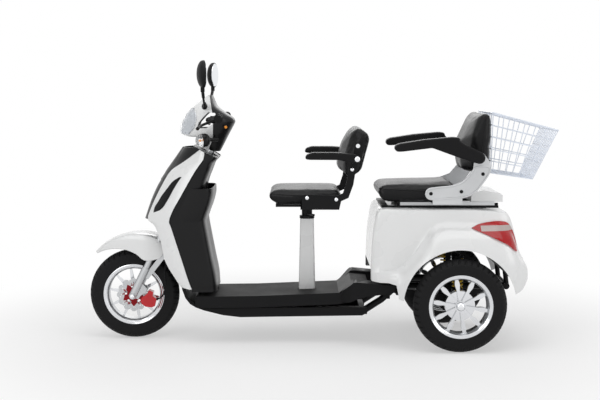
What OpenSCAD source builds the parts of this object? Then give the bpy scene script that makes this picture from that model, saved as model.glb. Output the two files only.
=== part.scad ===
// Electric three-wheeled moped with a swivelling rider's seat, a sliding passenger seat and a basket.
// Lengths in millimetres. +Z is up, the front points to -X and the left side is -Y.
// Stations named *_x are measured back from the front axle; origin_x moves them so that the origin is
// at floor level under the middle of the overall length.

/* [Wheels] */
// Distance between the front and rear axles
wheelbase = 1455; // [1400:5:1520]
// Outer diameter of the three tyres
tyre_d = 410; // [400:1:416]
// Width of a tyre
tyre_w = 84; // [76:1:92]
// Diameter over the rim flange
rim_d = 280; // [276:1:284]
// Distance between the middles of the rear tyres
rear_track = 616; // [604:2:640]
// Number of spokes in a wheel
spokes = 10; // [8:1:12]
// Diameter of the front brake disc
disc_d = 154; // [150:2:158]

/* [Steering] */
// Lean of the steering axis from upright, in degrees
rake = 26; // [25.5:0.5:26.5]
// Distance of the front axle ahead of the steering axis
fork_offset = 30; // [26:1:34]
// Distance between the fork legs' middles
fork_w = 146; // [144:1:150]
// Width of the handlebar over the grips
bar_w = 640; // [600:5:660]
// Height of the handlebar above the floor
bar_z = 1013; // [1008:1:1018]

/* [Floor] */
// Width of the footboard
deck_w = 330; // [316:2:344]
// Height of the footboard's top above the floor at the seat post
deck_z = 232; // [228:1:236]
// Height of the passenger's footrests above the floor
footrest_z = 286; // [282:1:292]
// Width over the passenger's footrests
footrest_w = 430; // [420:2:440]

/* [Seats] */
// Station of the rider's seat post
post_x = 792; // [780:1:800]
// Width of the rider's seat cushion
front_seat_w = 424; // [414:2:430]
// Height of the rider's seat cushion above the floor
front_seat_z = 700; // [696:1:704]
// Width of the passenger's seat cushion
rear_seat_w = 450; // [430:2:456]
// Height of the passenger's seat cushion above the floor
rear_seat_z = 722; // [719:1:728]
// Width of an armrest of the passenger's seat
arm_w = 56; // [46:1:60]

/* [Body] */
// Width of the luggage box at its top
tub_w = 450; // [440:2:460]
// Height of the luggage box's top above the floor
tub_z = 616; // [614:1:620]
// Width over the rear mudguards
guard_w = 690; // [670:2:700]
// Thickness of the moulded body panels
wall = 4; // [3:0.5:5]
// Radius of the rear wheel arch
arch_r = 245; // [243:1:248]

/* [Basket] */
// Width of the basket at its rim
basket_w = 400; // [360:4:410]
// Diameter of the basket's wires
wire_d = 4; // [3:0.5:5]

/* [Hidden] */
$fn = 48;
tyre_r = tyre_d / 2;
rim_r = rim_d / 2;
axle_z = tyre_r;
rear_x = wheelbase;
track_y = rear_track / 2;
gap = 0.3;                 // space left between pieces that only touch
run = 0.05;                // radial clearance of a pin in its hole

basket_end_x = rear_x + 440;
overall_len = tyre_r + basket_end_x;
origin_x = tyre_r - overall_len / 2;

hip_z = front_seat_z + 18;  // level of the bend of the rider's seat bracket
axis_x0 = fork_offset / cos(rake);      // station of the steering axis at axle height

module along_y(y0, y1) translate([0, y1, 0]) rotate([90, 0, 0]) linear_extrude(y1 - y0) children();
module both_sides() {
    children();
    mirror([0, 1, 0]) children();
}
module rod_y(x, z, r, y0, y1) translate([x, y1, z]) rotate([90, 0, 0]) cylinder(h = y1 - y0, r = r);
module strut(a, b, r) {
    v = b - a;
    translate(a) rotate([0, acos(v.z / norm(v)), atan2(v.y, v.x)]) cylinder(h = norm(v), r = r);
}
module box(x0, x1, y0, y1, z0, z1) translate([x0, y0, z0]) cube([x1 - x0, y1 - y0, z1 - z0]);

function arc(c, r, a0, a1, n) = [for (i = [0:n]) c + r * [cos(a0 + (a1 - a0) * i / n), sin(a0 + (a1 - a0) * i / n)]];
function unit(v) = v / norm(v);
function side(p, i) = let (a = p[max(i - 1, 0)], b = p[min(i + 1, len(p) - 1)], d = unit(b - a)) [-d.y, d.x];
function backwards(p) = [for (i = [len(p) - 1:-1:0]) p[i]];
// Outline of a band of width w that follows the points p
function ribbon(p, w) = concat(
    [for (i = [0:len(p) - 1]) p[i] + side(p, i) * w / 2],
    [for (i = [len(p) - 1:-1:0]) p[i] - side(p, i) * w / 2]);
function mix(a, b, t) = a + (b - a) * t;
// Value at z in a table of [z, value...] rows that rise in z
function row_at(table, z) = let (
    n = len(table),
    k = max([0, for (i = [0:n - 2]) if (table[i][0] <= z) i]),
    t = (z - table[k][0]) / (table[k + 1][0] - table[k][0]))
    mix(table[k], table[k + 1], max(0, min(1, t)));

// Closed wall between two grids of points with the same rows and columns
module shell(outer, inner) {
    cols = len(outer[0]);
    rows = len(outer);
    n = rows * cols;
    cells = [for (i = [0:rows - 2], j = [0:cols - 2]) [i * cols + j, i * cols + j + 1, (i + 1) * cols + j + 1, (i + 1) * cols + j]];
    edge = concat(
        [for (j = [0:cols - 2]) j],
        [for (i = [0:rows - 2]) i * cols + cols - 1],
        [for (j = [cols - 1:-1:1]) (rows - 1) * cols + j],
        [for (i = [rows - 1:-1:1]) i * cols]);
    m = len(edge);
    polyhedron(
        points = concat([for (r = outer) each r], [for (r = inner) each r]),
        faces = concat(
            [for (c = cells) each [[c[0], c[1], c[2]], [c[0], c[2], c[3]]]],
            [for (c = cells) each [[c[0] + n, c[2] + n, c[1] + n], [c[0] + n, c[3] + n, c[2] + n]]],
            [for (k = [0:m - 1]) let (p = edge[k], q = edge[(k + 1) % m]) each [[q, p, p + n], [q, p + n, q + n]]]));
}

module placed() translate([origin_x, 0, 0]) children();
// Point on the steering axis, h above the level of the front axle along the axis
function up_axis(h) = [axis_x0 + h * sin(rake), 0, axle_z + h * cos(rake)];
module steer_frame() translate([axis_x0, 0, axle_z]) rotate([0, rake, 0]) children();
// Rows of [z, x_mid, x_edge, half_width] become points from the left edge over the middle to the right
function bow_row(z, x_mid, x_edge, half, bulge, t) = [for (k = [-4:4]) let (
    a = k / 4, q = pow(abs(a), bulge))
    [mix(x_mid, x_edge, q), a * half, z]];
function bow(table, bulge, dx, dy) = [for (r = table) bow_row(r[0], r[1] + dx, r[2] + dx, r[3] - dy, bulge, 0)];

// Frame
head_low = 392;
head_high = 640;
stem_r = 20;
module tube_on_axis(h0, h1, r, bore) steer_frame() translate([0, 0, h0]) difference() {
    cylinder(h = h1 - h0, r = r);
    translate([0, 0, -1]) cylinder(h = h1 - h0 + 2, r = bore);
}
rail_y = 110;
rail_z = 146;
sub_z = 258;
down_tube = [[296, 0, 640], [334, 0, 182]];
module frame() color("#26282a") placed() {
    tube_on_axis(head_low, head_high, 27, stem_r + run);
    difference() {
        union() {
            strut(down_tube[0], down_tube[1], 19);
            strut(up_axis(430) + [18, 0, 0], [316, 0, 430], 16);
            strut(up_axis(610), [298, 0, 640], 17);
        }
        steer_frame() translate([0, 0, head_low - 40]) cylinder(h = 400, r = stem_r + 2);
    }
    for (s = [-1, 1]) {
        box(440, 1062, s * rail_y - 15, s * rail_y + 15, rail_z - 16, rail_z + 16);
        strut([350, s * rail_y, 176], [450, s * rail_y, rail_z], 13);
        strut([1050, s * rail_y, rail_z], [1128, s * rail_y, 196], 15.5);
        strut([1124, s * rail_y, 193], [1196, s * rail_y, sub_z], 15.5);
        strut([1190, s * rail_y, sub_z], [1690, s * rail_y, sub_z], 15);
        box(1135, 1165, s * rail_y - 15, s * rail_y + 15, 200, 594);
        strut([1692, s * rail_y, sub_z], [1651, s * rail_y, 584], 11);
        box(1110, 1664, s * rail_y - 12, s * rail_y + 12, 572, 594);
    }
    box(336, 364, -rail_y - 13, rail_y + 13, 165, 190);
    for (x = [560, post_x - 20, post_x + 20, 1040])
        box(x - 12, x + 12, -rail_y, rail_y, rail_z - 12, rail_z + 12);
    box(post_x - 45, post_x + 45, -45, 45, rail_z, 196);
    rod_y(1688, sub_z, 15, -rail_y - 15, rail_y + 15);
    rod_y(1190, sub_z - 10, 15, -178 + gap, 178 - gap);
    rod_y(rear_x, axle_z + 226, 9, -228, 228);
    for (s = [-1, 1]) box(rear_x - 12, rear_x + 12, s * rail_y - 6, s * rail_y + 6, sub_z, axle_z + 232);
}

// Footboard with the raised footrests of the passenger
deck_end = 1066;
deck_side = [[296, deck_z - 15], [560, deck_z - 12], [944, deck_z + 3], [946, 203], [936, 183], [560, 168], [330, 164], [300, 173], [290, 184]];
module deck() color("#191a1b") placed() difference() {
    union() {
        along_y(-deck_w / 2, deck_w / 2) polygon(deck_side);
        along_y(-deck_w / 2, deck_w / 2)
            polygon([[930, deck_z], [990, footrest_z - 6], [deck_end, footrest_z - 12], [deck_end, 205], [930, 183]]);
        for (s = [-1, 1]) intersection() {
            along_y(-footrest_w / 2, footrest_w / 2)
                polygon([[943, 226], [950, 246], [996, footrest_z + 2], [1012, footrest_z + 4], [1180, footrest_z - 12],
                    [1186, footrest_z - 20], [1186, 246], [1150, 238], [1060, 226], [1010, 212], [972, 196], [946, 196]]);
            translate([0, 0, 100]) linear_extrude(300) polygon([[940, s * 120], [940, s * (deck_w / 2)],
                [985, s * footrest_w / 2], [1180, s * footrest_w / 2], [1188, s * (footrest_w / 2 - 8)], [1188, s * 150], [1062, s * 120]]);
        }
    }
    along_y(-deck_w / 2 + wall, deck_w / 2 - wall)
        polygon([[300, deck_z - 15 - wall], [560, deck_z - 12 - wall], [944, deck_z - wall], [990, footrest_z - 12 - wall],
            [deck_end + 1, footrest_z - 18 - wall], [deck_end + 1, 160], [290, 160]]);
    for (s = [-1, 1]) intersection() {
        along_y(-footrest_w / 2 + wall, footrest_w / 2 - wall)
            polygon([[950, 190], [956, 246], [998, footrest_z - wall], [1180 - wall, footrest_z - 12 - wall], [1182, 180]]);
        translate([0, 0, 100]) linear_extrude(300) polygon([[948, s * 118], [948, s * (deck_w / 2 - 6)],
            [987, s * (footrest_w / 2 - wall)], [1182, s * (footrest_w / 2 - wall)], [1182, s * 154], [1062, s * 124]]);
    }
    translate([post_x, 0, 150]) linear_extrude(120) square([80, 62], center = true);
    strut(down_tube[0], down_tube[1], 19 + gap);
    rod_y(1190, sub_z - 10, 15 + gap, -200, 200);
}

// Chin under the leg shield and tray under the footboard
tray_side = [[229, 262], [232, 244], [246, 206], [266, 180], [292, 164], [330, 150], [415, 129], [492, 120], [1040, 128], [1062, 140]];
module belly_tray() color("#1c1d1e") placed() {
    difference() {
        along_y(-145, 145) polygon(concat(tray_side, [[1062, 165], [560, 163], [330, 158], [300, 169], [276, 187], [257, 214], [246, 262]]));
        along_y(-rail_y - 20, rail_y + 20)
            polygon([[340, 190], [340, 152], [425, 139], [430, rail_z - 16 - gap], [1070, rail_z - 16 - gap], [1070, 190]]);
    }
    along_y(-140, 140) polygon([[246, 240], [250, 240], [274, 454], [270, 456]]);
}

// Outlines of the painted fairings: [z, front x, rear x, half width in front, half width behind]
fairing_rows = [
    [250, 256, 277, 158, 164], [258, 231, 273, 156, 165], [300, 200, 258, 152, 167], [372, 158, 236, 146, 169],
    [459, 138, 209, 138, 171], [511, 118, 193, 124, 173], [534, 104, 186, 110, 174], [556, 74, 179, 88, 175],
    [610, 91, 199, 92, 176], [650, 109, 222, 95, 176], [710, 140, 256, 100, 176], [777, 182, 295, 104, 174],
    [809, 228, 317, 108, 170], [833, 262, 333, 112, 165], [880, 324, 338, 140, 148]];

// Leg shield of the rider with its pocket, and the collar round the steering column
shield_back = [[236, 386], [300, 381], [400, 361], [529, 337], [590, 330], [650, 329], [709, 333], [760, 352], [795, 364],
    [815, 374], [828, 392], [868, 396]];
function fairing_y(f, t) = mix(f[3], f[4], pow(t, 0.8)) + 9 * sin(180 * t);
// Half width inside the fairings near their rear edge
function shield_edge(f) = min((fairing_y(f, 0.8) + fairing_y(f, 1)) / 2, fairing_y(f, 1)) - wall - 4 * gap;
function shield_row(z, d) = let (f = row_at(fairing_rows, z), xr = row_at(shield_back, z)[1] - d, xe = mix(f[1], f[2], 0.9),
    ye = shield_edge(f) - d, hw = min(ye, 163 - d)) [
    [xe, -ye, z], [mix(xe, xr, 0.6), -hw, z], [xr - 12, -hw + 12, z], [xr, -hw + 44, z], [xr - 4, 0, z],
    [xr, hw - 44, z], [xr - 12, hw - 12, z], [mix(xe, xr, 0.6), hw, z], [xe, ye, z]];
shield_z = concat([236], [for (r = fairing_rows) r[0]]);
// Pocket that swells out of the shield: [z, station of its back, how far its sides stand out]
pocket_rows = [[545, 333, -2], [562, 338, 2], [586, 346, 5], [612, 356, 6], [645, 366, 6], [672, 371, 6], [700, 371, 6]];
function pocket_row(r, d) = let (f = row_at(fairing_rows, r[0]), xr = r[1] - d, ye = shield_edge(f) - 4 - d,
    hw = min(shield_edge(f), 163) + r[2] - d) [
    [f[2] + 1, -ye, r[0]], [mix(f[2], xr, 0.5), -hw, r[0]], [xr - 20, -hw + 9, r[0]], [xr - 4, -hw + 38, r[0]], [xr, 0, r[0]],
    [xr - 4, hw - 38, r[0]], [xr - 20, hw - 9, r[0]], [mix(f[2], xr, 0.5), hw, r[0]], [f[2] + 1, ye, r[0]]];
seam_h = 731;
module below_seam(h) intersection() {
    children();
    steer_frame() translate([-600, -400, h - 1200]) cube([1200, 800, 1200]);
}
module leg_shield() color("#161718") placed() {
    below_seam(seam_h - 8) shell([for (z = shield_z) backwards(shield_row(z, 0))], [for (z = shield_z) backwards(shield_row(z, wall))]);
    shell([for (r = pocket_rows) backwards(pocket_row(r, 0))], [for (r = pocket_rows) backwards(pocket_row(r, wall))]);
    steer_frame() translate([0, 0, seam_h - 14]) difference() {
        linear_extrude(4) polygon([[-78, -60], [-40, -112], [22, -132], [30, -126], [42, -90], [42, 90], [30, 126],
            [22, 132], [-40, 112], [-78, 60]]);
        translate([0, 0, -1]) cylinder(h = 6, r = 44);
    }
}

// Nose panel in the middle of the front
nose_front = [[556, 53], [606, 70], [654, 88], [690, 104], [722, 121], [740, 137], [777, 159], [840, 204], [909, 252]];
nose_z = [for (r = fairing_rows) if (r[0] >= 556) r[0]];
nose_rows = [for (z = nose_z) let (f = row_at(fairing_rows, z)) [z, row_at(nose_front, z)[1], f[1] + 6, f[3] - wall - gap]];
module nose_panel() color("#151617") placed() below_seam(seam_h - 8)
    shell(bow(nose_rows, 2.4, 0, 0), bow(nose_rows, 2.4, wall, 0));

// Painted fairings beside the nose
function fairing_row(r, d) = [for (k = [0:5]) let (t = k / 5)
    [mix(r[1], r[2], t), d - fairing_y(r, t), r[0]]];
module fairing() below_seam(seam_h - 8)
    shell([for (r = fairing_rows) backwards(fairing_row(r, 0))], [for (r = fairing_rows) backwards(fairing_row(r, wall))]);
module left_fairing() color("#eef0f2") placed() fairing();
module right_fairing() color("#eef0f2") placed() mirror([0, 1, 0]) fairing();

// Post under the rider's seat
post_top = hip_z - 166;
module seat_post() color("#eceef0") placed() translate([post_x, 0, 196 + gap]) {
    linear_extrude(post_top - 196 - gap, scale = [0.8, 0.86], slices = 1) offset(10, $fn = 24) square([58, 40], center = true);
}

// Luggage box with its mudguards
tub_rows = [
    // x, top z, half at top, crease z, half at crease, half at bottom, bottom z
    [1073, 356, 206, 342, 208, 208, 304], [1077, 470, 212, 340, 214, 216, 298], [1088, 560, 217, 338, 222, 226, footrest_z + 10],
    [1100, 604, 220, 338, 228, 236, footrest_z + 9], [1114, tub_z, tub_w / 2 - 2, 340, 232, 246, footrest_z + 8],
    [1180, tub_z, tub_w / 2, 352, 236, 292, footrest_z + 4], [1192, tub_z, tub_w / 2, 360, 237, 300, 229],
    [1235, tub_z, tub_w / 2, 395, 240, 332, 227], [1290, tub_z, tub_w / 2, 470, 244, guard_w / 2, 227],
    [1360, tub_z, tub_w / 2, 552, 246, guard_w / 2, 227], [1455, tub_z, tub_w / 2, 556, 248, guard_w / 2, 227],
    [1550, tub_z - 4, tub_w / 2 - 2, 554, 246, guard_w / 2, 232], [1630, tub_z - 10, tub_w / 2 - 6, 550, 236, guard_w / 2 - 6, 240],
    [1672, tub_z - 18, tub_w / 2 - 14, 540, 224, guard_w / 2 - 14, 250], [1697, 546, tub_w / 2 - 24, 500, 216, guard_w / 2 - 22, 258],
    [1727, 434, 196, 408, 212, guard_w / 2 - 36, 276], [1751, 392, 180, 384, 196, guard_w / 2 - 56, 320]];
function tub_half(r, d) = let (x = r[0], tz = r[1] - d, a = r[2] - d, cz = r[3], c = r[4] - d, o = r[5] - d, bz = r[6]) [
    [x, o, bz], [x, o + 1, mix(bz, cz, 0.30)], [x, mix(c, o, 0.93), mix(bz, cz, 0.58)], [x, mix(c, o, 0.62), mix(bz, cz, 0.84)],
    [x, c, cz], [x, mix(a, c, 0.6), mix(cz, tz, 0.3)], [x, a + 2, mix(cz, tz, 0.75)], [x, a - 3, mix(cz, tz, 0.96)], [x, a - 14, tz], [x, 0, tz]];
function tub_row(r, d) = let (h = tub_half(r, d)) concat([for (p = h) [p.x, -p.y, p.z]], [for (i = [len(h) - 2:-1:0]) h[i]]);
module tub() color("#eef0f2") placed() difference() {
    shell([for (r = tub_rows) tub_row(r, 0)], [for (r = tub_rows) tub_row(r, wall)]);
    rod_y(rear_x, axle_z, arch_r, -guard_w, guard_w);
}

// Lining of the wheel arches
module under_tub(d) shell([for (r = tub_rows) tub_row(r, d)],
    [for (r = tub_rows) let (q = tub_row(r, d), n = len(q) - 1) [for (k = [0:n]) [r[0], mix(q[0].y, q[n].y, k / n), 180]]]);
module arch_liners() color("#1a1b1c") placed() intersection() {
    difference() {
        rod_y(rear_x, axle_z, arch_r + 3, -380, 380);
        rod_y(rear_x, axle_z, arch_r, -400, 400);
    }
    along_y(-390, 390) polygon([[1100, 280], [rear_x, 280], [rear_x, 334], [1750, 334], [1750, 700], [1100, 700]]);
    under_tub(wall + gap);
}

// Tail lamps
lamp_side = [[1506, 540], [1548, 557], [1662, 562], [1690, 533], [1713, 446], [1700, 441], [1660, 470], [1600, 500]];
module lamp(y0, y1) intersection() {
    along_y(y0, y1) polygon(lamp_side);
    shell([for (r = tub_rows) tub_row(r, -7)], [for (r = tub_rows) tub_row(r, -1)]);
}
module left_tail_lamp() color("#a5161b") placed() lamp(-guard_w / 2, -180);
module right_tail_lamp() color("#a5161b") placed() lamp(180, guard_w / 2);

// Holder of the number plate
module plate_holder() color("#17181a") placed() difference() {
    along_y(-120, 120) polygon([[1751 + gap, 388], [1760, 388], [1764, 330], [1756, 322], [1751 + gap, 322]]);
    for (s = [-1, 1]) translate([1745, s * 55, 372]) rotate([0, 90, 0]) cylinder(h = 40, r = 3.2);
}

// Rails that carry the passenger's seat
seat_rail_y = 150;
module seat_rails() color("#232426") placed() {
    for (s = [-1, 1]) {
        box(1190, 1640, s * seat_rail_y - 14, s * seat_rail_y + 14, tub_z + gap, tub_z + 10);
        box(1190, 1640, s * seat_rail_y - 3, s * seat_rail_y + 3, tub_z + 9, tub_z + 22 - gap);
    }
    box(1120, 1150, -170, 170, tub_z + gap, tub_z + 12);
    box(1140, 1200, -seat_rail_y - 14, -seat_rail_y + 14, tub_z + gap, tub_z + 8);
    box(1140, 1200, seat_rail_y - 14, seat_rail_y + 14, tub_z + gap, tub_z + 8);
}

// Rear axle with its motor and swing arms
module rear_axle() color("#3a3c3f") placed() {
    rod_y(rear_x, axle_z, 24, -track_y + 70, track_y - 70);
    rod_y(rear_x, axle_z, 12, -track_y - 30, track_y + 30);
    rod_y(rear_x, axle_z, 78, -70, 40);
    rod_y(rear_x + 40, axle_z + 5, 60, 30, 88);
    for (s = [-1, 1]) {
        along_y(s * 190 - 12, s * 190 + 12) polygon([[1186, 232], [1200, 262], [rear_x, axle_z + 24], [rear_x + 20, axle_z - 20], [rear_x - 20, axle_z - 24]]);
        along_y(s * 216 - 10, s * 216 + 10) polygon([[rear_x - 18, axle_z], [rear_x - 10, axle_z + 34], [rear_x + 10, axle_z + 34], [rear_x + 18, axle_z]]);
    }
}
module shock() {
    z0 = axle_z + 34 + gap;
    z1 = axle_z + 226 - 9 - gap;
    translate([rear_x, -216, z0]) {
        cylinder(h = z1 - z0, r = 8);
        translate([0, 0, 14]) cylinder(h = 10, r = 26);
        translate([0, 0, 24]) cylinder(h = z1 - z0 - 44, r = 22);
        translate([0, 0, z1 - z0 - 20]) cylinder(h = 10, r = 26);
    }
}
module left_shock() color("#e0b021") placed() shock();
module right_shock() color("#e0b021") placed() mirror([0, 1, 0]) shock();

// Front fork
leg_in = fork_w / 2 - 18;       // distance from the middle to the inside of a fork leg
disc_y = 48;                    // middle plane of the brake disc
crown_h = 352;
stem_top = seam_h + 110;
module fork() color("#c9cccf") placed() {
    steer_frame() {
        for (s = [-1, 1]) {
            translate([-fork_offset, s * fork_w / 2, -8]) cylinder(h = crown_h + 20, r = 15);
            translate([-fork_offset, s * fork_w / 2, -22]) cylinder(h = 150, r = 18);
        }
        translate([-fork_offset - 24, -fork_w / 2 - 20, crown_h]) cube([74, fork_w + 40, 26]);
        translate([0, 0, crown_h + 10]) cylinder(h = stem_top - crown_h - 10, r = stem_r);
    }
    rod_y(0, axle_z, 8, -fork_w / 2 - 26, fork_w / 2 + 26);
    both_sides() {
        rod_y(0, axle_z, 14, -fork_w / 2 - 22, -fork_w / 2);
        along_y(-fork_w / 2 - 3, -fork_w / 2 + 3)
            polygon(ribbon([[60, axle_z + 82], [83, axle_z + 110], [131, axle_z + 172], [142, axle_z + 188]], 24));
    }
    along_y(-fork_w / 2 - 3, -fork_w / 2 + 3) polygon([for (p = caliper_plate) [p.x, axle_z + p.y]]);
}
// Outlines in the side view, measured from the axle
caliper_plate = [[8, 2], [26, 54], [42, 56], [64, 32], [60, 14], [44, 6], [34, -2], [24, -16], [10, -12]];
caliper_body = [[40, -40], [33, -26], [40, -8], [54, 0], [64, 10], [72, 24], [92, 16], [90, -3], [104, -14], [106, -20],
    [98, -50], [84, -55], [56, -52]];

// Handlebar with its grips and levers
bar_x = 410;
function bar_line(t) = mix([bar_x - 8, -174, bar_z], [bar_x, -bar_w / 2, bar_z], t);
bar_bend = [349, -90, 1003];
module handlebar() color("#2a2b2d") placed() {
    strut([350, 0, 1004], up_axis(seam_h + 140), 16);
    strut(up_axis(stem_top + gap), up_axis(seam_h + 142), stem_r);
    both_sides() {
        strut([348, 1, 1003], [350, -96, 1003], 11);
        strut(bar_bend, bar_line(0.05), 11);
        strut(bar_line(0), bar_line(0.9), 11);
        strut(bar_line(0.16), bar_line(1), 17);
        strut(bar_line(0.03), bar_line(0.17), 20);
        strut([394, -186, bar_z - 4], [330, -202, bar_z - 30], 6);
        strut([332, -200, bar_z - 29], [322, -bar_w / 2 + 8, bar_z - 40], 6);
        translate([322, -bar_w / 2 + 8, bar_z - 40]) sphere(r = 8);
    }
}

// Cowl round the headlamp
// Rows of [z, front station, rear station, half width]; the part below 926 is the neck under the headlamp
cowl_rows = [[860, 322, 344, 56], [900, 306, 361, 74], [922, 298, 369, 86], [928, 242, 370, 89], [945, 222, 371, 97], [985, 228, 372, 107],
    [1027, 250, 370, 111], [1050, 268, 367, 108], [1067, 284, 364, 103], [1112, 338, 355, 58]];
// Opening in the side through which the handlebar comes out
bar_window = [[298, 966], [306, 990], [330, 1018], [352, 1038], [382, 1034], [392, 1000], [366, 982], [340, 966]];
module above_seam(h) intersection() {
    children();
    steer_frame() translate([-600, -400, h]) cube([1200, 800, 800]);
}
mirror_foot = [336, -114, 1061];
module headlight_cowl() color("#eef0f2") placed() {
    above_seam(seam_h + 5) difference() {
        shell(bow(cowl_rows, 2.6, 0, 0), bow([for (r = cowl_rows) [r[0], r[1] + wall, r[2], r[3] - wall]], 2.6, 0, 0));
        along_y(-200, 200) polygon(bar_window);
    }
    both_sides() strut([338, -84, 1049], mirror_foot, 9);
}

// Cover of the steering column with the dashboard and the bodies of the turn signals
dash_back = [[860, 398], [900, 419], [922, 430], [945, 442], [985, 463], [993, 466], [1010, 459], [1027, 434], [1050, 402], [1067, 384],
    [1112, 366]];
function dash_row(r, d) = let (e = row_at(cowl_rows, r[0])) bow_row(r[0], r[1] - d, e[2] + 3 * gap, e[3] - d, 3, 0);
module dashboard() color("#191a1b") placed() above_seam(seam_h + 5) {
    difference() {
        shell([for (r = dash_back) backwards(dash_row(r, 0))], [for (r = dash_back) backwards(dash_row(r, wall))]);
        along_y(-200, 200) polygon(bar_window);
    }
    both_sides() {
        strut([382, -62, 916], [390, -106, 916], 8);
        strut([390, -102, 916], [338, -146, 914], 8);
        strut([346, -136, 917], [312, -148, 913], 24);
    }
}

// Mirrors
mirror_yaw = 12;
mirror_r = 59;
module mirror_set() {
    strut(mirror_foot + [0, -2, 0.8] * gap, [341, -236, 1108], 5);
    strut([341, -230, 1105], [343, -290, 1136], 7);
    strut([343, -287, 1130], [343, -294, 1166], 9);
    translate([347, -297, 1205]) rotate([0, 0, mirror_yaw]) rotate([0, -90, 0]) rotate_extrude($fn = 64)
        polygon(concat([[0, -6], [mirror_r - 2, -6], [mirror_r, -4]], [for (a = [0:10:80]) [mirror_r * cos(a), 2 + 26 * sin(a)]], [[0, 28]]));
}
module left_mirror() color("#17181a") placed() mirror_set();
module right_mirror() color("#17181a") placed() mirror([0, 1, 0]) mirror_set();

// Front mudguard: rows from the tip over the wheel to the rear, each [angle about the axle, radius, half width, skirt]
fender_half = fork_w / 2 + 15 + gap + 3;
fender_rows = [[132, 263, 20, 4], [124, 268, 42, 16], [112, 274, 60, 36], [98, 280, 74, 60], [84, 286, fender_half - 6, 86],
    [72, 290, fender_half, 108], [62, 290, fender_half, 96], [54, 282, fender_half, 60]];
function fender_row(r, d) = let (c = cos(r[0]), s = sin(r[0]), q = r[1] - d, w = r[2] - d, k = r[3])
    [for (p = [[-w, q - k - 6], [-w, q - k / 2 - 6], [-w * 0.93, q - 7], [-w * 0.55, q - 1], [0, q], [w * 0.55, q - 1], [w * 0.93, q - 7], [w, q - k / 2 - 6], [w, q - k - 6]])
        [c * p[1], p[0], axle_z + s * p[1]]];
module front_fender() color("#eef0f2") placed() difference() {
    shell([for (r = fender_rows) fender_row(r, 0)], [for (r = fender_rows) fender_row(r, 3)]);
    steer_frame() for (s = [-1, 1]) translate([-fork_offset, s * fork_w / 2, 160]) cylinder(h = 240, r = 15 + gap);
}

// Brake caliper on the fork's plate, and its hose
module brake_caliper() color("#b8242a") placed() difference() {
    along_y(-fork_w / 2 + 3 + gap, -disc_y + 17) polygon([for (p = caliper_body) [p.x, axle_z + p.y]]);
    rod_y(0, axle_z, disc_d / 2 + 2, -disc_y - 4, -disc_y + 4);
    difference() {
        rod_y(0, axle_z, 200, -disc_y + 3, 0);
        rod_y(0, axle_z, rim_r - 40, -disc_y, 1);
    }
}
hose_end = up_axis(crown_h);
hose_path = [[112, -66, axle_z - 16], [124, -70, axle_z - 12], [140, -72, axle_z + 6], [150, -72, axle_z + 50], [147, -72, axle_z + 105],
    hose_end + [-36, -72, -146], hose_end + [-16, -70, -94], hose_end + [-5, -66, -54], hose_end + [-2, -62, -10]];
module rod_x(p, h, r) translate(p) rotate([0, 90, 0]) cylinder(h = h, r = r);
module brake_hose() color("#141414") placed() {
    for (i = [0:len(hose_path) - 2]) strut(hose_path[i], hose_path[i + 1], 3.5);
    for (p = hose_path) translate(p) sphere(r = 3.8);
    rod_x([106 + gap, -66, axle_z - 17], 8, 6);
}

// Wheels
module tyre(y) translate([0, y, axle_z]) rotate([90, 0, 0]) rotate_extrude($fn = 96)
    polygon(concat(arc([tyre_r - 40, tyre_w / 2 - 30], 30, 90, 25, 3), [[tyre_r - 3, tyre_w * 0.28], [tyre_r, 0]],
        [[tyre_r - 3, -tyre_w * 0.28]], arc([tyre_r - 40, -tyre_w / 2 + 30], 30, -25, -90, 3), [[rim_r - 12, -tyre_w / 2 + 8], [rim_r - 12, tyre_w / 2 - 8]]));
// Half of the rim's section from the tyre seat over the flange to the inside: [radius, distance from the middle]
rim_half = [[rim_r - 12 - gap, tyre_w / 2 - 8 + gap], [rim_r, tyre_w / 2 - 4.4], [rim_r, tyre_w / 2 - 2], [rim_r - 4, tyre_w / 2 - 1],
    [rim_r - 8, tyre_w / 2 - 3], [rim_r - 11, tyre_w / 2 - 3], [rim_r - 16, tyre_w / 2 - 6], [rim_r - 18, tyre_w / 2 - 12],
    [rim_r - 23, tyre_w / 2 - 20]];
module rim_band() rotate_extrude($fn = 96) polygon(concat(rim_half, [for (p = backwards(rim_half)) [p.x, -p.y]]));
// Spokes from a table of [radius, half width]
module spoke_star(half, z0, h) for (i = [0:spokes - 1]) rotate([0, 0, 360 / spokes * (i + 0.75)])
    translate([0, 0, z0]) linear_extrude(h) polygon(concat(half, [for (p = backwards(half)) [p.x, -p.y]]));
leaf = [for (t = [0:0.125:1]) [mix(24, rim_r - 20, t), 3.4 + 3.8 * sin(180 * t)]];
blade = [[22, 5.5], [60, 6], [76, 7.5], [92, 10.5], [102, 10.5], [rim_r - 28, 8], [rim_r - 20, 6.5]];
module wheel_at(x, y) translate([x, y, axle_z]) rotate([90, 0, 0]) children();
module front_tyre() color("#141414") placed() tyre(0);
module front_rim() color("#b9bcc0") placed() wheel_at(0, 0) difference() {
    union() {
        rim_band();
        translate([0, 0, -disc_y + 2 + gap]) cylinder(h = 2 * disc_y - 4 - 2 * gap, r = 22);
        translate([0, 0, -16]) cylinder(h = 36, r = 30);
        spoke_star(leaf, -4, 13);
    }
    translate([0, 0, -60]) cylinder(h = 120, r = 8 + run);
}
carrier_r = 48;
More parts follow.
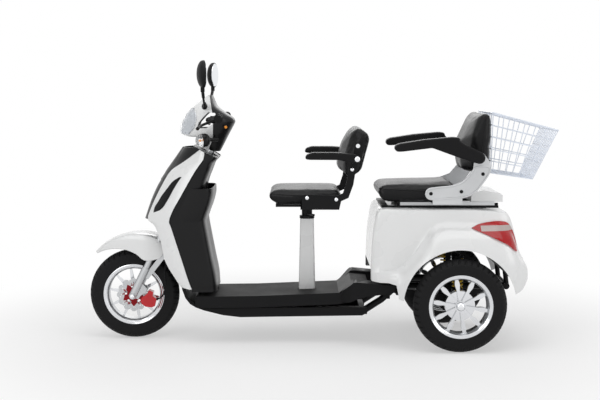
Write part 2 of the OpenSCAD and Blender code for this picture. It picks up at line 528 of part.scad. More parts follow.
module brake_disc() color("#9da1a5") placed() wheel_at(0, -disc_y + 2) difference() {
    union() {
        cylinder(h = 4, r = disc_d / 2 - 7, $fn = 96);
        for (i = [0:11]) rotate([0, 0, 30 * i]) translate([disc_d / 2 - 14, 0, 0]) cylinder(h = 4, r = 14);
    }
    translate([0, 0, -1]) cylinder(h = 6, r = 15);
    for (i = [0:11], k = [0:2]) rotate([0, 0, 30 * i + 9 * k]) translate([disc_d / 2 - 20 + 5 * k, 0, -1])
        cylinder(h = 6, r = 2.5, $fn = 16);
    for (i = [0:4]) rotate([0, 0, 72 * i + 20]) translate([0, 0, -1]) linear_extrude(6)
        polygon(concat(arc([0, 0], carrier_r - 7, -16, 16, 4), backwards(arc([0, 0], carrier_r - 17, -14, 14, 4))));
}
module rear_left_tyre() color("#141414") placed() translate([rear_x, 0, 0]) tyre(-track_y);
module rear_right_tyre() color("#141414") placed() translate([rear_x, 0, 0]) tyre(track_y);
module rear_rim() difference() {
    union() {
        rim_band();
        translate([0, 0, -28]) cylinder(h = 36, r = 65);
        translate([0, 0, -28]) cylinder(h = 54, r = 24);
        spoke_star(blade, 2, 18);
    }
    translate([0, 0, -60]) cylinder(h = 120, r = 12 + run);
}
module rear_left_rim() color("#b9bcc0") placed() wheel_at(rear_x, -track_y) rear_rim();
module rear_right_rim() color("#b9bcc0") placed() wheel_at(rear_x, track_y) rotate([0, 180, 0]) rear_rim();

// Rider's seat
module front_seat_frame() color("#1d1e20") placed() {
    translate([post_x, 0, post_top + gap]) cylinder(h = 12, r = 34);
    translate([post_x, 0, post_top + gap]) cylinder(h = 70, r = 24);
    box(post_x - 140, post_x + 140, -150, 150, hip_z - 99, hip_z - 87);
    both_sides() {
        box(post_x - 30, post_x + 140, -front_seat_w / 2 - 8, -140, hip_z - 104, hip_z - 96);
        along_y(-front_seat_w / 2 - 9, -front_seat_w / 2 - 3) polygon(ribbon(
            [[post_x - 10, hip_z - 52], [post_x + 130, hip_z - 58], [post_x + 168, hip_z - 42], [post_x + 186, hip_z + 10],
                [post_x + 196, hip_z + 73], [post_x + 215, hip_z + 127], [post_x + 225, hip_z + 190]], 32));
        along_y(-front_seat_w / 2 - 9, -front_seat_w / 2 - 3)
            polygon([[post_x - 24, hip_z - 104], [post_x + 140, hip_z - 104], [post_x + 150, hip_z - 60], [post_x - 24, hip_z - 60]]);
        rod_y(post_x - 10, hip_z - 52, 16, -front_seat_w / 2 - 9, -front_seat_w / 2 - 3);
        rod_y(f_pin.x, f_pin.y, pin_r, -f_side - 22, -f_side + 3);
        rod_y(post_x + 229, hip_z + 176, 7, -f_side + 3, -front_seat_w / 2 + 10);
        rod_y(post_x + 196, hip_z + 73, 9, -f_side + 3, -front_seat_w / 2 + 10);
    }
    strut([post_x, -20, post_top + 20], [post_x + 30, -110, post_top + 26], 5);
}
// Cushion as the hull of balls at both sides: [x from the post, height, distance from the middle, radius]
module cushion(balls) hull() for (q = balls, s = [-1, 1]) translate([q[0], s * q[2], q[1]]) sphere(r = q[3], $fn = 20);
module front_seat_cushion() color("#1b1b1c") placed() translate([post_x, 0, front_seat_z]) cushion([
    [-152, -30, front_seat_w / 2 - 48, 24], [-124, -43, front_seat_w / 2 - 44, 24], [-60, -35, front_seat_w / 2 - 26, 25],
    [136, -43, front_seat_w / 2 - 32, 26], [132, -32, front_seat_w / 2 - 34, 26], [60, -36, front_seat_w / 2 - 26, 25],
    [-60, -26, 100, 26], [90, -28, 100, 26]]);
module front_seat_back() color("#1b1b1c") placed() translate([post_x, 0, hip_z]) cushion([
    [189, 56, front_seat_w / 2 - 34, 24], [212, 72, front_seat_w / 2 - 34, 24], [194, 122, front_seat_w / 2 - 34, 24],
    [228, 232, front_seat_w / 2 - 44, 24], [250, 216, front_seat_w / 2 - 34, 24],
    [163, 72, 70, 24], [166, 112, 70, 24], [184, 172, 70, 24], [216, 227, 70, 24]]);
// Armrest that folds up about a pin at [x, z]; front end at tip
pin_r = 6;
f_pin = [post_x + 216, hip_z + 121];
f_side = front_seat_w / 2 + 9;      // outside of the rider's seat bracket
module bored(p, y0, y1, r) difference() {
    children();
    rod_y(p.x, p.y, r, y0, y1);
}
module armrest(x, z, tip, w, top) bored([x, z], -f_side - 24, -f_side, pin_r + run)
    along_y(-f_side - w, -f_side - 0.6) polygon([[tip, top - 20], [tip + 8, top - 8], [tip + 32, top], [x - 90, top], [x - 10, top - 7],
        [x + 8, z + 14], [x + 16, z + 4], [x + 14, z - 10], [x + 4, z - 17], [x - 16, z - 19], [x - 80, top - 33], [tip + 20, top - 32],
        [tip + 2, top - 30]]);
module front_left_arm() color("#1d1d1f") placed() armrest(f_pin.x, f_pin.y, post_x - 10, 52, hip_z + 150);
module front_right_arm() color("#1d1d1f") placed() mirror([0, 1, 0]) armrest(f_pin.x, f_pin.y, post_x - 10, 52, hip_z + 150);

// Passenger's seat on its slides
slide_z = tub_z + 20;
r_pin = [1540, 843];
r_side = rear_seat_w / 2 + 8;      // outside of the passenger's seat bracket
// Outline of the silver side cover, whose front end is round
cover_side = [[1334, 658], [1488, 669], [1545, 711], [1591, 784], [1586, 828], [1560, 862], [1530, 862], [1519, 832], [1516, 794],
    [1472, 741], [1423, 722], [1334, 712]];
module rear_seat_frame() color("#9a9da0") placed() {
    both_sides() {
        difference() {
            box(1204, 1622, -seat_rail_y - 16, -seat_rail_y + 16, tub_z + 12, slide_z + 6);
            box(1200, 1626, -seat_rail_y - 4, -seat_rail_y + 4, tub_z + 10, slide_z + 2);
        }
        box(1340, 1470, -r_side, -seat_rail_y + 10, slide_z + 2, slide_z + 6);
        along_y(-r_side, -r_side + 6) polygon(cover_side);
        rod_y(1334, 685, 27, -r_side, -r_side + 6);
        along_y(-r_side, -r_side + 6) polygon([[1340, slide_z + 2], [1470, slide_z + 2], [1470, 680], [1340, 680]]);
        rod_y(r_pin.x, r_pin.y, pin_r, -r_side - 22, -r_side + 3);
        rod_y(1555, rear_seat_z + 76, 9, -r_side + 3, -rear_seat_w / 2 + 10);
    }
    box(1204, 1480, -seat_rail_y, seat_rail_y, slide_z + 2, slide_z + 6);
}
module rear_seat_cushion() color("#1b1b1c") placed() translate([0, 0, rear_seat_z]) cushion([
    [1124, -32, rear_seat_w / 2 - 50, 26], [1130, -44, rear_seat_w / 2 - 46, 26], [1290, -36, rear_seat_w / 2 - 28, 26],
    [1290, -42, rear_seat_w / 2 - 28, 26], [1440, -30, rear_seat_w / 2 - 32, 26], [1440, -42, rear_seat_w / 2 - 32, 26],
    [1240, -26, 100, 26], [1430, -20, 100, 26],
    [1200, slide_z + 32 - rear_seat_z, 120, 26], [1440, slide_z + 32 - rear_seat_z, 120, 26]]);
module rear_seat_back() color("#1b1b1c") placed() translate([0, 0, rear_seat_z]) cushion([
    [1552, 64, rear_seat_w / 2 - 34, 24], [1562, 80, rear_seat_w / 2 - 34, 24], [1544, 130, rear_seat_w / 2 - 34, 24],
    [1545, 218, rear_seat_w / 2 - 36, 24], [1574, 294, rear_seat_w / 2 - 48, 24], [1572, 208, rear_seat_w / 2 - 34, 24],
    [1511, 68, 80, 24], [1505, 103, 80, 24], [1508, 183, 80, 24], [1536, 243, 80, 24], [1562, 288, 80, 24]]);
// Tray behind the passenger's seat, open below
seat_tray_side = [[1520, slide_z + 6 + gap], [1520, 664], [1534, 686], [1575, 692], [1645, 682], [1660, 672], [1660, slide_z + 6 + gap]];
module seat_tray() color("#eef0f2") placed() difference() {
    along_y(-156, 156) polygon(seat_tray_side);
    along_y(-156 + wall, 156 - wall) polygon([[1520 + wall, 640], [1520 + wall, 662], [1537, 683 - wall], [1575, 692 - wall],
        [1643, 682 - wall], [1660 - wall, 670], [1660 - wall, 640]]);
}
module rear_arm() bored(r_pin, -r_side - 24, -r_side, pin_r + run) {
    along_y(-r_side - arm_w, -r_side - 0.6) polygon([[1168, 884], [1172, 900], [1190, 908], [1300, 925], [1420, 936], [1446, 933],
        [1452, 916], [1470, 904], [1548, 868], [1560, 850], [1552, 826], [1515, 823], [1430, 852], [1331, 888], [1200, 872], [1178, 872]]);
    rod_y(r_pin.x, r_pin.y, 26, -r_side - 24, -r_side - 0.6);
}
module rear_left_arm() color("#1d1d1f") placed() rear_arm();
module rear_right_arm() color("#1d1d1f") placed() mirror([0, 1, 0]) rear_arm();

// Basket behind the passenger
basket_drop = 272;
// Flat grid of wires between four corners [lower left, lower right, upper right, upper left]
module wire_grid(q, nu, nv) {
    w = wire_d / 2;
    lu = norm(q[2] - q[3]);
    lv = norm(q[3] - q[0]);
    corner = [for (p = [[-1, -1], [1, -1], [1, 1], [-1, 1]]) mix(
        mix(q[0], q[1], 0.5 + p.x * (0.5 + w / lu)), mix(q[3], q[2], 0.5 + p.x * (0.5 + w / lu)), 0.5 + p.y * (0.5 + w / lv))];
    holes = [for (i = [0:nu - 1], j = [0:nv - 1], k = [[0, 0], [1, 0], [1, 1], [0, 1]]) let (
        u = (i + k.x) / nu + (1 - 2 * k.x) * w / lu, v = (j + k.y) / nv + (1 - 2 * k.y) * w / lv)
        mix(mix(q[0], q[1], u), mix(q[3], q[2], u), v)];
    linear_extrude(wire_d, center = true) polygon(
        concat(corner, holes),
        concat([[0, 1, 2, 3]], [for (c = [0:nu * nv - 1]) [4 + 4 * c, 5 + 4 * c, 6 + 4 * c, 7 + 4 * c]]));
}
basket_low = [1604, 772];
basket_low_end = [1790, 744];
basket_top = [1604, 1037];
basket_top_end = [basket_end_x - 4, 960];
basket_floor_w = basket_w - 88;
basket_lean = atan2((basket_w - basket_floor_w) / 2, 1037 - 758);
function basket_y(z) = basket_floor_w / 2 + (z - 758) * tan(basket_lean);
function on_slope(p, a) = [p.x, (p.y - 758) / cos(a)];
module basket() color("#e8ecf2") placed() {
    for (s = [-1, 1]) translate([0, s * basket_floor_w / 2, 758]) rotate([90 - s * basket_lean, 0, 0])
        wire_grid([for (p = [basket_low, basket_low_end, basket_top_end, basket_top]) on_slope(p, basket_lean)], 6, 5);
    y0 = basket_y(basket_low.y);
    y1 = basket_y(basket_low_end.y);
    y2 = basket_y(basket_top_end.y);
    y3 = basket_y(basket_top.y);
    translate([basket_low.x, 0, 0]) rotate([90, 0, 90])
        wire_grid([[-y0, basket_low.y], [y0, basket_low.y], [y3, basket_top.y], [-y3, basket_top.y]], 8, 5);
    d = basket_top_end - basket_low_end;
    translate([basket_low_end.x, 0, basket_low_end.y]) rotate([0, atan2(d.x, d.y), 0]) rotate([90, 0, 90])
        wire_grid([[-y1, 0], [y1, 0], [y2, norm(d)], [-y2, norm(d)]], 12, 6);
    e = basket_low_end - basket_low;
    translate([basket_low.x, 0, basket_low.y]) rotate([0, atan2(-e.y, e.x), 0])
        wire_grid([[0, -y0], [norm(e), -y1], [norm(e), y1], [0, y0]], 5, 7);
    for (s = [-1, 1]) {
        strut([basket_top.x, s * y3, basket_top.y], [basket_top_end.x, s * y2, basket_top_end.y], 4);
        box(1560, 1606, s * basket_y(903) / 2 - 12, s * basket_y(903) / 2 + 12, 900, 906);
    }
    rod_y(basket_top.x, basket_top.y, 4, -y3 - 2, y3 + 2);
    rod_y(basket_top_end.x, basket_top_end.y, 4, -y2 - 2, y2 + 2);
}

frame();
deck();
belly_tray();
leg_shield();
nose_panel();
left_fairing();
right_fairing();
seat_post();
tub();
arch_liners();
left_tail_lamp();
right_tail_lamp();
plate_holder();
seat_rails();
rear_axle();
left_shock();
right_shock();
fork();
handlebar();
headlight_cowl();
dashboard();
left_mirror();
right_mirror();
front_fender();
brake_caliper();
brake_hose();
front_tyre();
front_rim();
brake_disc();
rear_left_tyre();
rear_right_tyre();
rear_left_rim();
rear_right_rim();
front_seat_frame();
front_seat_cushion();
front_seat_back();
front_left_arm();
front_right_arm();
rear_seat_frame();
rear_seat_cushion();
rear_seat_back();
seat_tray();
rear_left_arm();
rear_right_arm();
basket();
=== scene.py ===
# Three-wheeled electric moped: a rider's seat on a post, a passenger's seat on slides and a basket.
# Everything here is in metres.
import math
import bpy
import bmesh
from mathutils import Matrix, Vector


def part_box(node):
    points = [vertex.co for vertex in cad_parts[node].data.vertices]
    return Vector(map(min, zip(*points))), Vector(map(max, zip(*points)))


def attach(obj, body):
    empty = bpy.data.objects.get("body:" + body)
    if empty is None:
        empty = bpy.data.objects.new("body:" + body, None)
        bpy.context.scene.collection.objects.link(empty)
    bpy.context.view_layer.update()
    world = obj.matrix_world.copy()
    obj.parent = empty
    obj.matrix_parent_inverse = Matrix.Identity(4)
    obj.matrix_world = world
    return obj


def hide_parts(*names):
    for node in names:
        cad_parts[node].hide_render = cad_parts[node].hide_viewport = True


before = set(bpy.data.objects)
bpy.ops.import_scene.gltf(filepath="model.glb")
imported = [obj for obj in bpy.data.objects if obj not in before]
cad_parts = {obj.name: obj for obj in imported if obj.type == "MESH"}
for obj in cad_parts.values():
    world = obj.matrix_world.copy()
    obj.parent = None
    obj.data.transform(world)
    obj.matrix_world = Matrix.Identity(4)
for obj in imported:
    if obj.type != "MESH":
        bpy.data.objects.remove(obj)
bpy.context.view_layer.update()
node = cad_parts
scene = bpy.context.scene

# Camera, floor and light of the studio.
# A long lens stands 5.2 m off the left side, a little above the handlebar, and looks slightly down.
camera_data = bpy.data.cameras.new("side_camera")
camera_data.sensor_width = 36.0
camera_data.lens = 68.94
camera = bpy.data.objects.new("side_camera", camera_data)
camera.location = (-0.085, -5.230, 1.166)
camera.rotation_euler = (math.radians(90 - 5.8), 0, 0)
scene.collection.objects.link(camera)
scene.camera = camera
scene.view_settings.view_transform = "Standard"

floor_mesh = bpy.data.meshes.new("studio_floor")
bm = bmesh.new()
bmesh.ops.create_grid(bm, x_segments=1, y_segments=1, size=9.0)
bm.to_mesh(floor_mesh)
bm.free()
floor = bpy.data.objects.new("studio_floor", floor_mesh)
scene.collection.objects.link(floor)
paper = bpy.data.materials.new("studio_paper")
paper.use_nodes = True
tree = paper.node_tree
shader = tree.nodes["Principled BSDF"]
shader.inputs["Base Color"].default_value = (0.96, 0.96, 0.96, 1)
shader.inputs["Roughness"].default_value = 0.9
shader.inputs["Specular IOR Level"].default_value = 0.1
spot = tree.nodes.new("ShaderNodeTexCoord")
reach = tree.nodes.new("ShaderNodeVectorMath")
reach.operation = "LENGTH"
fade = tree.nodes.new("ShaderNodeMapRange")
fade.interpolation_type = "SMOOTHSTEP"
fade.inputs["From Min"].default_value = 0.9
fade.inputs["From Max"].default_value = 2.2
fade.inputs["To Min"].default_value = 0.45
glow = tree.nodes.new("ShaderNodeEmission")
glow.inputs["Color"].default_value = (1, 1, 1, 1)
glow.inputs["Strength"].default_value = 1.0
blend = tree.nodes.new("ShaderNodeMixShader")
for a, b in [(spot.outputs["Object"], reach.inputs[0]), (reach.outputs["Value"], fade.inputs["Value"]), (fade.outputs[0], blend.inputs[0]),
             (shader.outputs[0], blend.inputs[1]), (glow.outputs[0], blend.inputs[2]),
             (blend.outputs[0], tree.nodes["Material Output"].inputs["Surface"])]:
    tree.links.new(a, b)
floor_mesh.materials.append(paper)

world = bpy.data.worlds.new("studio_world")
scene.world = world
world.use_nodes = True
sky = world.node_tree
sky_light = sky.nodes["Background"]
sky_light.inputs["Color"].default_value = (1, 1, 1, 1)
sky_light.inputs["Strength"].default_value = 0.36
seen_white = sky.nodes.new("ShaderNodeBackground")
seen_white.inputs["Color"].default_value = (1, 1, 1, 1)
seen_white.inputs["Strength"].default_value = 1.0
path = sky.nodes.new("ShaderNodeLightPath")
pick = sky.nodes.new("ShaderNodeMixShader")
mirrored = sky.nodes.new("ShaderNodeMath")
mirrored.operation = "MAXIMUM"
refracted = sky.nodes.new("ShaderNodeMath")
refracted.operation = "MAXIMUM"
sky.links.new(path.outputs["Is Camera Ray"], mirrored.inputs[0])
sky.links.new(path.outputs["Is Glossy Ray"], mirrored.inputs[1])
sky.links.new(mirrored.outputs[0], refracted.inputs[0])
sky.links.new(path.outputs["Is Transmission Ray"], refracted.inputs[1])
sky.links.new(refracted.outputs[0], pick.inputs[0])
sky.links.new(sky_light.outputs[0], pick.inputs[1])
sky.links.new(seen_white.outputs[0], pick.inputs[2])
sky.links.new(pick.outputs[0], sky.nodes["World Output"].inputs["Surface"])


def soft_box(name, place, aim, size, power):
    data = bpy.data.lights.new(name, "AREA")
    data.shape = "RECTANGLE"
    data.size, data.size_y = size
    data.energy = power
    lamp = bpy.data.objects.new(name, data)
    lamp.location = place
    lamp.rotation_euler = (Vector(aim) - Vector(place)).to_track_quat("-Z", "Y").to_euler()
    scene.collection.objects.link(lamp)


soft_box("overhead", (0.2, -0.8, 3.4), (0, 0, 0.5), (4.0, 2.4), 48)
soft_box("front_side", (-2.6, -3.4, 2.2), (0, 0, 0.6), (2.0, 2.2), 30)
soft_box("rear_side", (3.2, -2.2, 1.8), (0.2, 0, 0.6), (1.4, 2.2), 18)
soft_box("far_side", (0.0, 3.6, 2.2), (0, 0, 0.6), (3.0, 1.6), 24)

# Shader groups shared by the finishes: moulded grain, gentle colour drift and a spread of roughness.
# Each puts out values that change over the surface, and every finish sets its own scale and depth.


def group_with(name, inputs, outputs):
    g = bpy.data.node_groups.new(name, "ShaderNodeTree")
    for label, kind, value in inputs:
        s = g.interface.new_socket(label, in_out="INPUT", socket_type=kind)
        s.default_value = value
    for label, kind in outputs:
        g.interface.new_socket(label, in_out="OUTPUT", socket_type=kind)
    return g, g.nodes.new("NodeGroupInput"), g.nodes.new("NodeGroupOutput")


grain, gin, gout = group_with(
    "grain_and_drift",
    [("Scale", "NodeSocketFloat", 400.0), ("Depth", "NodeSocketFloat", 0.1), ("Roughness", "NodeSocketFloat", 0.4),
     ("Spread", "NodeSocketFloat", 0.06), ("Color", "NodeSocketColor", (0.5, 0.5, 0.5, 1)), ("Drift", "NodeSocketFloat", 0.1)],
    [("Color", "NodeSocketColor"), ("Roughness", "NodeSocketFloat"), ("Normal", "NodeSocketVector")])
place = grain.nodes.new("ShaderNodeTexCoord")
fine = grain.nodes.new("ShaderNodeTexVoronoi")
fine.feature = "SMOOTH_F1"
broad = grain.nodes.new("ShaderNodeTexNoise")
broad.inputs["Scale"].default_value = 6.0
broad.inputs["Detail"].default_value = 3.0
bump = grain.nodes.new("ShaderNodeBump")
bump.inputs["Distance"].default_value = 0.001
ranged = grain.nodes.new("ShaderNodeMapRange")
ranged.inputs["To Min"].default_value = -1.0
ranged.inputs["To Max"].default_value = 1.0
ranged.inputs["From Min"].default_value = 0.3
ranged.inputs["From Max"].default_value = 0.7
rough = grain.nodes.new("ShaderNodeMath")
rough.operation = "MULTIPLY_ADD"
dark = grain.nodes.new("ShaderNodeMath")
dark.operation = "MULTIPLY_ADD"
dark.inputs[2].default_value = 1.0
tint = grain.nodes.new("ShaderNodeVectorMath")
tint.operation = "SCALE"
for a, b in [(place.outputs["Object"], fine.inputs["Vector"]), (gin.outputs["Scale"], fine.inputs["Scale"]),
             (place.outputs["Object"], broad.inputs["Vector"]), (fine.outputs["Distance"], bump.inputs["Height"]),
             (gin.outputs["Depth"], bump.inputs["Strength"]), (broad.outputs[0], ranged.inputs["Value"]),
             (ranged.outputs[0], rough.inputs[0]), (gin.outputs["Spread"], rough.inputs[1]),
             (gin.outputs["Roughness"], rough.inputs[2]), (rough.outputs[0], gout.inputs["Roughness"]),
             (ranged.outputs[0], dark.inputs[0]), (gin.outputs["Drift"], dark.inputs[1]),
             (gin.outputs["Color"], tint.inputs[0]), (dark.outputs[0], tint.inputs["Scale"]),
             (tint.outputs[0], gout.inputs["Color"]), (bump.outputs[0], gout.inputs["Normal"])]:
    grain.links.new(a, b)


def finish(name, color, roughness, scale, depth, metallic=0.0, drift=0.06, spread=0.05, coat=0.0, coat_rough=0.06, specular=0.14):
    m = bpy.data.materials.new(name)
    m.use_nodes = True
    t = m.node_tree
    s = t.nodes["Principled BSDF"]
    g = t.nodes.new("ShaderNodeGroup")
    g.node_tree = grain
    g.inputs["Scale"].default_value = scale
    g.inputs["Depth"].default_value = depth
    g.inputs["Roughness"].default_value = roughness
    g.inputs["Spread"].default_value = spread
    g.inputs["Color"].default_value = (*color, 1)
    g.inputs["Drift"].default_value = drift
    s.inputs["Metallic"].default_value = metallic
    s.inputs["Coat Weight"].default_value = coat
    s.inputs["Coat Roughness"].default_value = coat_rough
    s.inputs["Specular IOR Level"].default_value = specular
    t.links.new(g.outputs["Color"], s.inputs["Base Color"])
    t.links.new(g.outputs["Roughness"], s.inputs["Roughness"])
    t.links.new(g.outputs["Normal"], s.inputs["Normal"])
    return m


def dress(material, *names):
    for n in names:
        mesh = node[n].data
        mesh.materials.clear()
        mesh.materials.append(material)
        for p in mesh.polygons:
            p.material_index = 0


def smooth_node(angle, *names):
    for n in names:
        mesh = node[n].data
        mesh.shade_smooth()
        mesh.set_sharp_from_angle(angle=math.radians(angle))


# Welded steel frame, slides and axle: tubes and brackets in satin black powder coat.
# They stay as built, and only their coat is set here.
powder_coat = finish("black_powder_coat", (0.006, 0.006, 0.0065), 0.40, 900, 0.12)
dress(powder_coat, "frame", "rear_axle", "seat_rails", "front_seat_frame", "handlebar")
smooth_node(35, "frame", "rear_axle", "seat_rails", "front_seat_frame", "handlebar")

# Moulded black plastic of the footboard, chin, arch liners and plate holder.
# It is injection moulded with a fine leather-like grain, and the board's top carries a ribbed mat.
moulding = finish("grained_black_moulding", (0.006, 0.006, 0.0065), 0.46, 700, 0.25)
dress(moulding, "deck", "belly_tray", "arch_liners", "plate_holder")
smooth_node(35, "deck", "belly_tray", "arch_liners", "plate_holder")
mat_rubber = finish("ribbed_mat_rubber", (0.007, 0.007, 0.007), 0.62, 900, 0.2)
rib_tree = mat_rubber.node_tree
ribs = rib_tree.nodes.new("ShaderNodeTexWave")
ribs.bands_direction = "Y"
ribs.inputs["Scale"].default_value = 26.0
rib_place = rib_tree.nodes.new("ShaderNodeTexCoord")
rib_bump = rib_tree.nodes.new("ShaderNodeBump")
rib_bump.inputs["Strength"].default_value = 0.8
rib_bump.inputs["Distance"].default_value = 0.0015
rib_tree.links.new(rib_place.outputs["Object"], ribs.inputs["Vector"])
rib_tree.links.new(ribs.outputs["Fac"], rib_bump.inputs["Height"])
rib_tree.links.new(rib_bump.outputs[0], rib_tree.nodes["Principled BSDF"].inputs["Normal"])
deck_mesh = node["deck"].data
deck_mesh.materials.append(mat_rubber)
for p in deck_mesh.polygons:
    if p.normal.z > 0.95 and p.center.z > 0.21 and abs(p.center.y) < 0.17:
        p.material_index = 1

# Painted body panels in cool white: fairings, cowl, mudguard and luggage box, with the post under the
# rider's seat. Each panel is a moulded skin of even thickness, drawn through the stations of its
# section and closed at its edges; openings for the wheels, bar and fork are cut from the skin.
white_paint = finish("white_body_paint", (0.81, 0.815, 0.815), 0.28, 260, 0.02, drift=0.012, spread=0.03, coat=0.6, specular=0.5)
dress(white_paint, "seat_post", "seat_tray")
smooth_node(35, "seat_post", "seat_tray")


def mm(x, y, z):
    return Vector((x - 845.0, y, z)) / 1000.0


def through(points, steps):
    p = [Vector(q) for q in points]
    p = [p[0] * 2 - p[1]] + p + [p[-1] * 2 - p[-2]]
    out = []
    for i in range(1, len(p) - 2):
        t = [0.0]
        for k in range(3):
            t.append(t[-1] + max((p[i + k] - p[i + k - 1]).length, 1e-4) ** 0.5)
        for s in range(steps):
            u = t[1] + (t[2] - t[1]) * s / steps
            a = [p[i + k - 1] * ((t[k + 1] - u) / (t[k + 1] - t[k])) + p[i + k] * ((u - t[k]) / (t[k + 1] - t[k])) for k in range(3)]
            b = [a[k] * ((t[k + 2] - u) / (t[k + 2] - t[k])) + a[k + 1] * ((u - t[k]) / (t[k + 2] - t[k])) for k in range(2)]
            out.append(b[0] * ((t[2] - u) / (t[2] - t[1])) + b[1] * ((u - t[1]) / (t[2] - t[1])))
    out.append(p[-2])
    return out


def finer(rows, along, across):
    wide = [through(r, across) for r in rows]
    columns = [through([r[k] for r in wide], along) for k in range(len(wide[0]))]
    return [[c[i] for c in columns] for i in range(len(columns[0]))]


def between(table, z):
    k = max([i for i in range(len(table) - 1) if table[i][0] <= z] or [0])
    t = min(1.0, max(0.0, (z - table[k][0]) / (table[k + 1][0] - table[k][0])))
    return [a + (b - a) * t for a, b in zip(table[k], table[k + 1])]


def skin(outer, inner):
    bm = bmesh.new()
    grids = [[[bm.verts.new(mm(*p)) for p in row] for row in g] for g in (outer, inner)]
    n, m = len(outer), len(outer[0])
    for g in grids:
        for i in range(n - 1):
            for j in range(m - 1):
                bm.faces.new((g[i][j], g[i][j + 1], g[i + 1][j + 1], g[i + 1][j]))
    rim = [(0, j) for j in range(m)] + [(i, m - 1) for i in range(1, n)]
    rim += [(n - 1, j) for j in range(m - 2, -1, -1)] + [(i, 0) for i in range(n - 2, 0, -1)]
    for (a, b), (c, d) in zip(rim, rim[1:] + rim[:1]):
        bm.faces.new((grids[0][a][b], grids[0][c][d], grids[1][c][d], grids[1][a][b]))
    bmesh.ops.recalc_face_normals(bm, faces=bm.faces)
    return bm


def trim(bm, point, normal):
    cut = bmesh.ops.bisect_plane(bm, geom=bm.verts[:] + bm.edges[:] + bm.faces[:], plane_co=point, plane_no=normal, clear_outer=True)
    bmesh.ops.holes_fill(bm, edges=[e for e in bm.edges if e.is_boundary], sides=0)
    bmesh.ops.recalc_face_normals(bm, faces=bm.faces)


def add_piece(name, bm, material, body, replaced=(), sharp=40, cutters=(), way="DIFFERENCE"):
    mesh = bpy.data.meshes.new(name)
    bm.to_mesh(mesh)
    bm.free()
    piece = bpy.data.objects.new(name, mesh)
    scene.collection.objects.link(piece)
    for cutter in cutters:
        tool_mesh = bpy.data.meshes.new(name + "_cutter")
        cutter.to_mesh(tool_mesh)
        tool = bpy.data.objects.new(name + "_cutter", tool_mesh)
        scene.collection.objects.link(tool)
        carve = piece.modifiers.new("carve", "BOOLEAN")
        carve.object = tool
        carve.operation = way
        carve.solver = "EXACT"
        carved = bpy.data.meshes.new_from_object(piece.evaluated_get(bpy.context.evaluated_depsgraph_get()))
        piece.modifiers.clear()
        piece.data = carved
        bpy.data.objects.remove(tool)
        bpy.data.meshes.remove(tool_mesh)
    piece.data.materials.clear()
    piece.data.materials.append(material)
    piece.data.shade_smooth()
    piece.data.set_sharp_from_angle(angle=math.radians(sharp))
    if replaced:
        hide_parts(*replaced)
    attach(piece, body)
    return piece


def prism(points, y0, y1):
    bm = bmesh.new()
    low_face = bm.faces.new([bm.verts.new(mm(x, y0, z)) for x, z in points])
    up = bmesh.ops.extrude_face_region(bm, geom=[low_face])
    bmesh.ops.translate(bm, verts=[v for v in up["geom"] if isinstance(v, bmesh.types.BMVert)], vec=(0, (y1 - y0) / 1000, 0))
    bmesh.ops.recalc_face_normals(bm, faces=bm.faces)
    return bm


axis_way = Vector((math.sin(math.radians(26)), 0, math.cos(math.radians(26))))
axis_foot = mm(33.378, 0, 205)
seam_under = axis_foot + axis_way * 0.723
seam_over = axis_foot + axis_way * 0.736
fairing_rows = [
    (250, 256, 277, 158, 164), (258, 231, 273, 156, 165), (300, 200, 258, 152, 167), (372, 158, 236, 146, 169),
    (459, 138, 209, 138, 171), (511, 118, 193, 124, 173), (534, 104, 186, 110, 174), (556, 74, 179, 88, 175),
    (610, 91, 199, 92, 176), (650, 109, 222, 95, 176), (710, 140, 256, 100, 176), (777, 182, 295, 104, 174),
    (809, 228, 317, 108, 170), (833, 262, 333, 112, 165), (880, 324, 338, 140, 148)]


def fairing_at(f, t, out):
    return (f[1] + (f[2] - f[1]) * t, -(f[3] + (f[4] - f[3]) * t ** 0.8 + 9 * math.sin(math.pi * t) + out), f[0])


for s, side in ((1, "left"), (-1, "right")):
    rows = [finer([[fairing_at(f, k / 5, -d) for k in range(6)] for f in fairing_rows], 3, 3) for d in (0, 4)]
    if s < 0:
        rows = [[[Vector((p.x, -p.y, p.z)) for p in r] for r in g] for g in rows]
    bm = skin(*rows)
    trim(bm, seam_under, axis_way)
    add_piece(side + "_fairing_skin", bm, white_paint, "chassis", [side + "_fairing"])


def tub_half(r, d):
    x, tz, a, cz, c, o, bz = r[0], r[1] - d, r[2] - d, r[3], r[4] - d, r[5] - d, r[6]

    def mix(p, q, t):
        return p + (q - p) * t
    return [(x, o, bz), (x, o + 1, mix(bz, cz, 0.30)), (x, mix(c, o, 0.93), mix(bz, cz, 0.58)), (x, mix(c, o, 0.62), mix(bz, cz, 0.84)),
            (x, c, cz), (x, mix(a, c, 0.6), mix(cz, tz, 0.3)), (x, a + 2, mix(cz, tz, 0.75)), (x, a - 3, mix(cz, tz, 0.96)),
            (x, a - 14, tz), (x, 0, tz)]


tub_rows = [
    (1073, 356, 206, 342, 208, 208, 304), (1077, 470, 212, 340, 214, 216, 298), (1088, 560, 217, 338, 222, 226, 296),
    (1100, 604, 220, 338, 228, 236, 295), (1114, 616, 223, 340, 232, 246, 294), (1180, 616, 225, 352, 236, 292, 290),
    (1192, 616, 225, 360, 237, 300, 229), (1235, 616, 225, 395, 240, 332, 227), (1290, 616, 225, 470, 244, 345, 227),
    (1360, 616, 225, 552, 246, 345, 227), (1455, 616, 225, 556, 248, 345, 227), (1550, 612, 223, 554, 246, 345, 232),
    (1630, 606, 219, 550, 236, 339, 240), (1672, 598, 211, 540, 224, 331, 250), (1697, 546, 201, 500, 216, 323, 258),
    (1727, 434, 196, 408, 212, 309, 276), (1751, 392, 180, 384, 196, 289, 320)]


def tub_grid(d, steps=2):
    rows = []
    for r in tub_rows:
        h = tub_half(r, d)
        rows.append([(x, -y, z) for x, y, z in h] + [tuple(q) for q in reversed(h[:-1])])
    return finer(rows, steps, 2)


